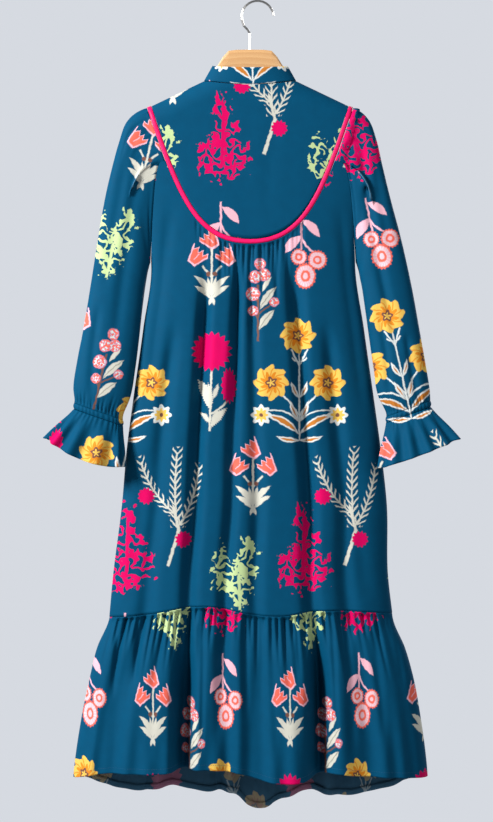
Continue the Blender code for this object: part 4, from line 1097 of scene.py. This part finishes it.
def loft(rings, rows, power=1.0):
    # smooth rows between the rings that shape a tube
    rings = np.array(rings)
    steps = np.linalg.norm(np.diff(rings, axis=0), axis=2).mean(axis=1)
    keys = np.concatenate([[0], np.cumsum(steps)])
    slopes = np.gradient(rings, keys, axis=0)
    at = np.linspace(0, 1, rows) ** power * keys[-1]
    i = np.clip(np.searchsorted(keys, at) - 1, 0, len(keys) - 2)
    step = (keys[i + 1] - keys[i])[:, None, None]
    q = ((at - keys[i]) / (keys[i + 1] - keys[i]))[:, None, None]
    start = rings[i] * (1 + 2 * q) * (1 - q) ** 2 + slopes[i] * step * q * (1 - q) ** 2
    end = rings[i + 1] * q * q * (3 - 2 * q) + slopes[i + 1] * step * q * q * (q - 1)
    return start + end, at, keys[-1]


def sleeveFlat(points, settings, backColumns):
    # print places of a tube that is cut flat and folded along its outer edge
    lean = math.radians(settings["lean"])
    atX = (settings["printAt"][0] - 257.5) * printPixel
    atDrop = (settings["printAt"][1] - 2.0) * printPixel
    dx, dd = points[..., 0] - atX, -points[..., 2] - atDrop
    u = dx * math.cos(lean) - dd * math.sin(lean)
    v = dx * math.sin(lean) + dd * math.cos(lean)
    outer = u[:, :1]
    u = np.concatenate([u[:, :backColumns], 2 * outer - u[:, backColumns:], outer], axis=1)
    v = np.concatenate([v, v[:, :1]], axis=1)
    return np.stack([u + settings["chartAt"][0] * printPixel, v + settings["chartAt"][1] * printPixel], axis=-1)


def makeSleeve(name, settings):
    side = settings["side"]
    seamX, seamDepth, seamDrop = armholeLine(side)
    shares = (seamDrop[-1] - seamDrop) / (seamDrop[-1] - seamDrop[0])
    rings = []
    for reach in (0.0, 0.004):
        move = seamGap + 0.0008 * (1 - rise(shares / 0.5)) + reach * rise(shares / 0.25)
        lower = reach / 2 * (1 - rise(shares / 0.25))
        rings.append(closedRing(seamX + move, seamDepth, seamDrop + lower, side, 0.0))
    for ring in table(ringColumns, settings["rings"]):
        x, depth, drop = ringShape(ring, shares)
        bulge = seamX - (seamX[-1] + (seamX[0] - seamX[-1]) * shares)
        x = x + ring.follow * bulge
        depth = depth + ring.follow * (seamDepth - depth)
        rings.append(closedRing(x, depth, drop, side, ring.forward))
    band = table(cuffColumns, settings["cuff"])
    x, depth, drop = ringShape(band[0], shares)
    rings.append(closedRing(x, depth, drop - 0.003, side, band[0].forward))
    rings.append(closedRing(x, depth, drop - seamGap / 2, side, band[0].forward))
    points, along, length = loft(rings, settings["rows"])
    flat = sleeveFlat(points, settings, len(shares))
    # place round the ring, from the shoulder's point down the back and up the front
    aroundSteps = np.linalg.norm(np.diff(points, axis=1, append=points[:, :1]), axis=2)
    around = np.concatenate([np.zeros((len(points), 1)), np.cumsum(aroundSteps, axis=1)[:, :-1]], axis=1)
    whole = aroundSteps.sum(axis=1)[:, None]
    signed = np.where(around > whole / 2, around - whole, around)
    below = along[:, None] * np.ones_like(signed)
    head = gatherRidges(settings["gatherSeed"], np.arange(-0.075, 0.078, 0.0085), (0.0020, 0.0032), (0.030, 0.075), (0.0022, 0.0045))
    wrist = gatherRidges(settings["gatherSeed"] + 1, np.linspace(-0.5, 0.5, 34)[:-1], (0.006, 0.010), (0.016, 0.050), (0.0016, 0.0040))
    push = tuckPush(head, signed, below + 0.004)
    push += tuckPush(wrist, signed / whole, length - below + 0.002)
    ends = rise(below / 0.006) * rise((length - below) / 0.004)
    xs, drops = points[..., 0] - centreX, -points[..., 2]
    isBack = np.arange(points.shape[1])[None, :] < len(shares)
    creases = np.where(isBack, creasePush(settings["creases"]["back"], xs, drops), creasePush(settings["creases"]["front"], xs, drops))
    edgeCalm = rise(np.minimum(np.abs(signed), whole / 2 - np.abs(signed)) / 0.018)
    push = push * rise(below / 0.004) * rise((length - below) / 0.002) + creases * ends * edgeCalm
    for i in range(1, len(points) - 1):
        points[i] -= ringOutward(points[i]) * push[i][:, None]
    piece = clothPiece(f"sleeve_{name}_cloth", points, flat, settings, closed=True, flip=side > 0)
    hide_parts(f"sleeve_{name}")
    return piece


sleeves = {name: makeSleeve(name, settings) for name, settings in sleeveSettings.items()}
print("sleeves made")


# Cuffs: a narrow elastic casing and a gathered ruffle below it
cuffSettings = {"columns": 80, "shirring": 33, "shirringDepth": 0.0010, "flutes": 11, "fluteDepth": 0.0042, "rows": 26, "fluteSeed": 5}


def makeCuff(name, settings):
    sleeve = sleeveSettings[name]
    side = sleeve["side"]
    bands = table(cuffColumns, sleeve["cuff"])
    half = settings["columns"]
    shares = (1 + np.cos(np.linspace(0, math.pi, half + 1))) / 2
    count = 2 * half + 1
    turn = np.arange(count) / count
    shirring = np.sin(turn * 2 * math.pi * settings["shirring"] + 1.5 * np.sin(turn * 2 * math.pi * 5)) * settings["shirringDepth"] / 2
    points = []
    for q in np.linspace(0, 1, 9):
        x, depth, drop = ringShape(bands[0], shares)
        drop = drop + seamGap / 2 + (bands[1].outerDrop - bands[0].outerDrop - seamGap) * q
        ring = closedRing(x, depth, drop, side, bands[0].forward)
        swell = 0.0010 * math.sin(math.pi * q) + shirring * (0.3 + 0.7 * math.sin(math.pi * q))
        points.append(ring + ringOutward(ring) * (swell if np.ndim(swell) == 0 else swell[:, None]))
    points = np.array(points)
    band = clothPiece(f"cuff_band_{name}_cloth", points, sleeveFlat(points, sleeve, half + 1), settings, closed=True, flip=side > 0)
    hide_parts(f"cuff_band_{name}")
    rows = []
    chance = np.random.default_rng(settings["fluteSeed"] + side)
    drift = chance.uniform(0, 2 * math.pi, 3)
    for q in np.linspace(0, 1, settings["rows"]):
        share = q**1.1
        ring = SimpleNamespace(**{key: getattr(bands[1], key) + (getattr(bands[2], key) - getattr(bands[1], key)) * share for key in cuffColumns.split()})
        x, depth, drop = ringShape(ring, shares)
        base = closedRing(x, depth, drop + seamGap / 2, side, ring.forward)
        tight = shirring * (1 - rise(q / 0.45)) * 1.4
        swing = np.sin(turn * 2 * math.pi * settings["flutes"] + 1.1 * np.sin(turn * 2 * math.pi * 2 + drift[0]) + 0.5 * np.sin(turn * 2 * math.pi * 3 + drift[1]))
        loose = swing * settings["fluteDepth"] * rise(q / 0.8)
        rows.append(base + ringOutward(base) * (tight + loose)[:, None])
    points = np.array(rows)
    ruffle = clothPiece(f"cuff_ruffle_{name}_cloth", points, sleeveFlat(points, sleeve, half + 1), settings, closed=True, flip=side > 0)
    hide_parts(f"cuff_ruffle_{name}")
    return band, ruffle, points


cuffs = {name: makeCuff(name, cuffSettings) for name in sleeveSettings}
print("cuffs made")


# Piping: a cord in a bias strip along the yoke's curve
pipingSettings = {"stations": 60, "sides": 16}


def makePiping(side, settings):
    face = "back" if side < 0 else "front"
    edge = fullEdge(stationList(settings["stations"], 2.2))
    x, drop = edge[:, 0], edge[:, 1]
    line = placed(x, side * (torsoDepth(x, drop) + seamGap / 2), drop)
    step = 0.0005
    along = np.gradient(line, axis=0)
    along[0], along[-1] = (0, side, 0), (0, -side, 0)
    slopeX = (torsoDepth(x + step, drop) - torsoDepth(x - step, drop)) / (2 * step)
    slopeZ = (torsoDepth(x, drop - step) - torsoDepth(x, drop + step)) / (2 * step)
    normal = np.stack([-slopeX, np.full_like(x, side), -slopeZ], axis=-1)
    normal[0] = normal[-1] = (0, 0, 1)
    along /= np.linalg.norm(along, axis=1, keepdims=True)
    normal -= along * np.sum(along * normal, axis=1, keepdims=True)
    normal /= np.linalg.norm(normal, axis=1, keepdims=True)
    sideways = np.cross(along, normal)
    angles = 2 * math.pi * np.arange(settings["sides"]) / settings["sides"]
    out = form["pipingThick"] / 2 * np.sin(angles) - 0.0008
    points = line[:, None] + sideways[:, None] * (form["pipingWidth"] / 2 * np.cos(angles))[None, :, None] + normal[:, None] * out[None, :, None]
    length = np.concatenate([[0], np.cumsum(np.linalg.norm(np.diff(line, axis=0), axis=1))])
    mesh = bmesh.new()
    cut = mesh.loops.layers.uv.new("cut")
    verts = [[mesh.verts.new(p) for p in row] for row in points.tolist()]
    count = settings["sides"]
    for i in range(len(verts) - 1):
        for j in range(count):
            k = (j + 1) % count
            face4 = mesh.faces.new((verts[i][j], verts[i + 1][j], verts[i + 1][k], verts[i][k]))
            face4.smooth = True
            for loop, (a, b) in zip(face4.loops, ((i, j), (i + 1, j), (i + 1, j + 1), (i, j + 1))):
                loop[cut].uv = (length[a], b * 0.0012)
    mesh.faces.new(verts[0])
    mesh.faces.new(verts[-1])
    bmesh.ops.recalc_face_normals(mesh, faces=mesh.faces)
    data = bpy.data.meshes.new(f"piping_{face}_cord")
    mesh.to_mesh(data)
    mesh.free()
    data.materials.append(pipingCloth)
    piece = bpy.data.objects.new(f"piping_{face}_cord", data)
    scene.collection.objects.link(piece)
    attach(piece, "root")
    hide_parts(f"piping_{face}")
    return piece


pipings = {side: makePiping(side, pipingSettings) for side in (-1, 1)}
print("piping made")


# Collar: a stand round the neck, open at the centre front
collarSettings = {
    "columns": 120, "rows": 12, "topHalf": 0.0616, "topDrop": 0.1037, "backDip": 0.0048, "frontFall": 0.93, "frontShape": 1.4,
    "lean": 0.12, "inset": 0.0012, "gap": 0.0040, "lift": 0.0011, "printAt": (46.0, 353.0),
}


def makeCollar(settings):
    neckHalf = form["neckHalf"]
    start = math.asin(settings["gap"] / 2 / neckHalf)
    around = np.linspace(start - math.pi, math.pi - start, settings["columns"] + 1)
    x = np.sin(around) * (neckHalf - settings["inset"])
    side = np.where(np.cos(around) > 0, -1.0, 1.0)
    seam = np.where(side < 0, neckDrop(x, -1), neckDrop(x, 1))
    base = seam - settings["lift"]
    forward = np.clip(-np.cos(around), 0, 1) ** settings["frontShape"]
    frontFall = (form["neckFrontDrop"] - form["neckSideDrop"]) * settings["frontFall"] * forward
    top = settings["topDrop"] + settings["backDip"] * np.clip(np.cos(around), 0, 1) + frontFall
    points = []
    for q in np.linspace(0, 1, settings["rows"]):
        width = 1 + (settings["topHalf"] / neckHalf - 1) * q
        y = side * torsoDepth(x, seam) * (1 - settings["lean"] * q)
        points.append(placed(x * width, y, base + (top - base) * q))
    points = np.array(points)
    seamline = np.concatenate([[0], np.cumsum(np.linalg.norm(np.diff(points[0], axis=0), axis=1))])
    seamline -= seamline[-1] / 2
    shares = np.linspace(0, 1, settings["rows"])[:, None]
    flat = chartFlat(seamline + centreX + 0 * shares, 0.133 - 0.028 * shares + 0 * seamline, settings["printAt"])
    piece = clothPiece("collar_band_cloth", points, flat, settings, flip=True)
    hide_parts("collar_band")
    return piece


collar = makeCollar(collarSettings)
print("collar made")


# The tier's hems turned up inside, and their lines of stitches
hemSettings = {"tier": 0.010, "cuff": 0.005, "skip": 2}


def makeHems(settings):
    made = {}
    for side, (piece, points, flat) in tiers.items():
        face = "back" if side < 0 else "front"
        inner = slice(settings["skip"], -settings["skip"])
        band = turnedHem(f"{face}_hem_turned_up", points[:, inner], flat[:, inner], settings["tier"], side)
        lines = [seamLine(points[:, inner], settings["tier"] - 0.0012, side)]
        made[face] = [band, stitched(f"{face}_hem_stitches", lines, stitchSettings)]
    return made


hemPieces = makeHems(hemSettings)
print("hems turned up")

# Room: plain pale floor far below the hem and soft light from the left
def makeRoom(settings):
    mesh = bpy.data.meshes.new("Floor")
    around = [2 * math.pi * k / 96 for k in range(96)]
    radius = settings["floorRadius"]
    corners = [(centreX + radius * math.cos(a), radius * math.sin(a), -settings["floorDrop"]) for a in around]
    mesh.from_pydata(corners, [], [list(range(96))])
    floor = bpy.data.objects.new("Floor", mesh)
    scene.collection.objects.link(floor)

    def floorBuild():
        grain = Thread.node("ShaderNodeTexNoise", None, {"Scale": 40.0, "Detail": 4.0}, "Fac")
        colour = mixColour(grain, srgb(150, 151, 154), srgb(160, 161, 163))
        return Thread.node("ShaderNodeBsdfPrincipled", None, {"Base Color": colour, "Roughness": 0.8})

    mesh.materials.append(plainMaterial("PaleFloor", floorBuild))
    world = bpy.data.worlds.new("Studio")
    world.use_nodes = True
    Thread.tree = world.node_tree
    Thread.tree.nodes.clear()
    # a little darker on the side the picture is taken from, so that folds keep their shade
    toward = Thread.node("ShaderNodeSeparateXYZ", None, {0: Thread.node("ShaderNodeTexCoord", None, None, "Generated")}, "Y")
    power = toward.sum("MULTIPLY_ADD", 1.6, 0.5, clamp=True) * (1 - settings["frontSky"]) + settings["frontSky"]
    sky = Thread.node("ShaderNodeBackground", None, {"Color": srgb(*settings["wall"]), "Strength": power})
    Thread.node("ShaderNodeOutputWorld", None, {"Surface": sky})
    scene.world = world
    for name, place, size, power in settings["lamps"]:
        light = bpy.data.lights.new(name, "AREA")
        light.shape = "DISK"
        light.size = size
        light.energy = power
        lamp = bpy.data.objects.new(name, light)
        lamp.location = place
        aim = np.array(settings["aim"]) - np.array(place)
        lamp.rotation_euler = Vector(aim).to_track_quat("-Z", "Y").to_euler()
        scene.collection.objects.link(lamp)


roomSettings.update({
    "wall": (214, 218, 225), "frontSky": 0.42,
    "lamps": [
        ("Window", (-2.7, -1.7, 1.0), 1.0, 350), ("Fill", (1.6, -2.8, 0.3), 2.2, 40), ("Behind", (1.6, 2.6, 0.5), 1.6, 70),
    ],
})
makeRoom(roomSettings)
print("room lit")

backTier, frontTier = tiers[-1][0], tiers[1][0]
declareCloth(yokes[-1], (0.34, 0.28), 0.062)
declareCloth(yokes[1], (0.34, 0.28), 0.060)
declareCloth(bodies[-1], (0.50, 0.84), 0.370)
declareCloth(bodies[1], (0.50, 0.84), 0.370)
declareCloth(backTier, (0.76, 0.27), None)
declareCloth(frontTier, (0.76, 0.33), 0.225)
for name, side in (("left", -1), ("right", 1)):
    declareCloth(sleeves[name], (0.30, 0.52), 0.125)
    declareCloth(cuffs[name][0], (0.21, 0.012))
    declareCloth(cuffs[name][1], (0.34, 0.055))
declareCloth(collar, (0.42, 0.032), 0.0125)
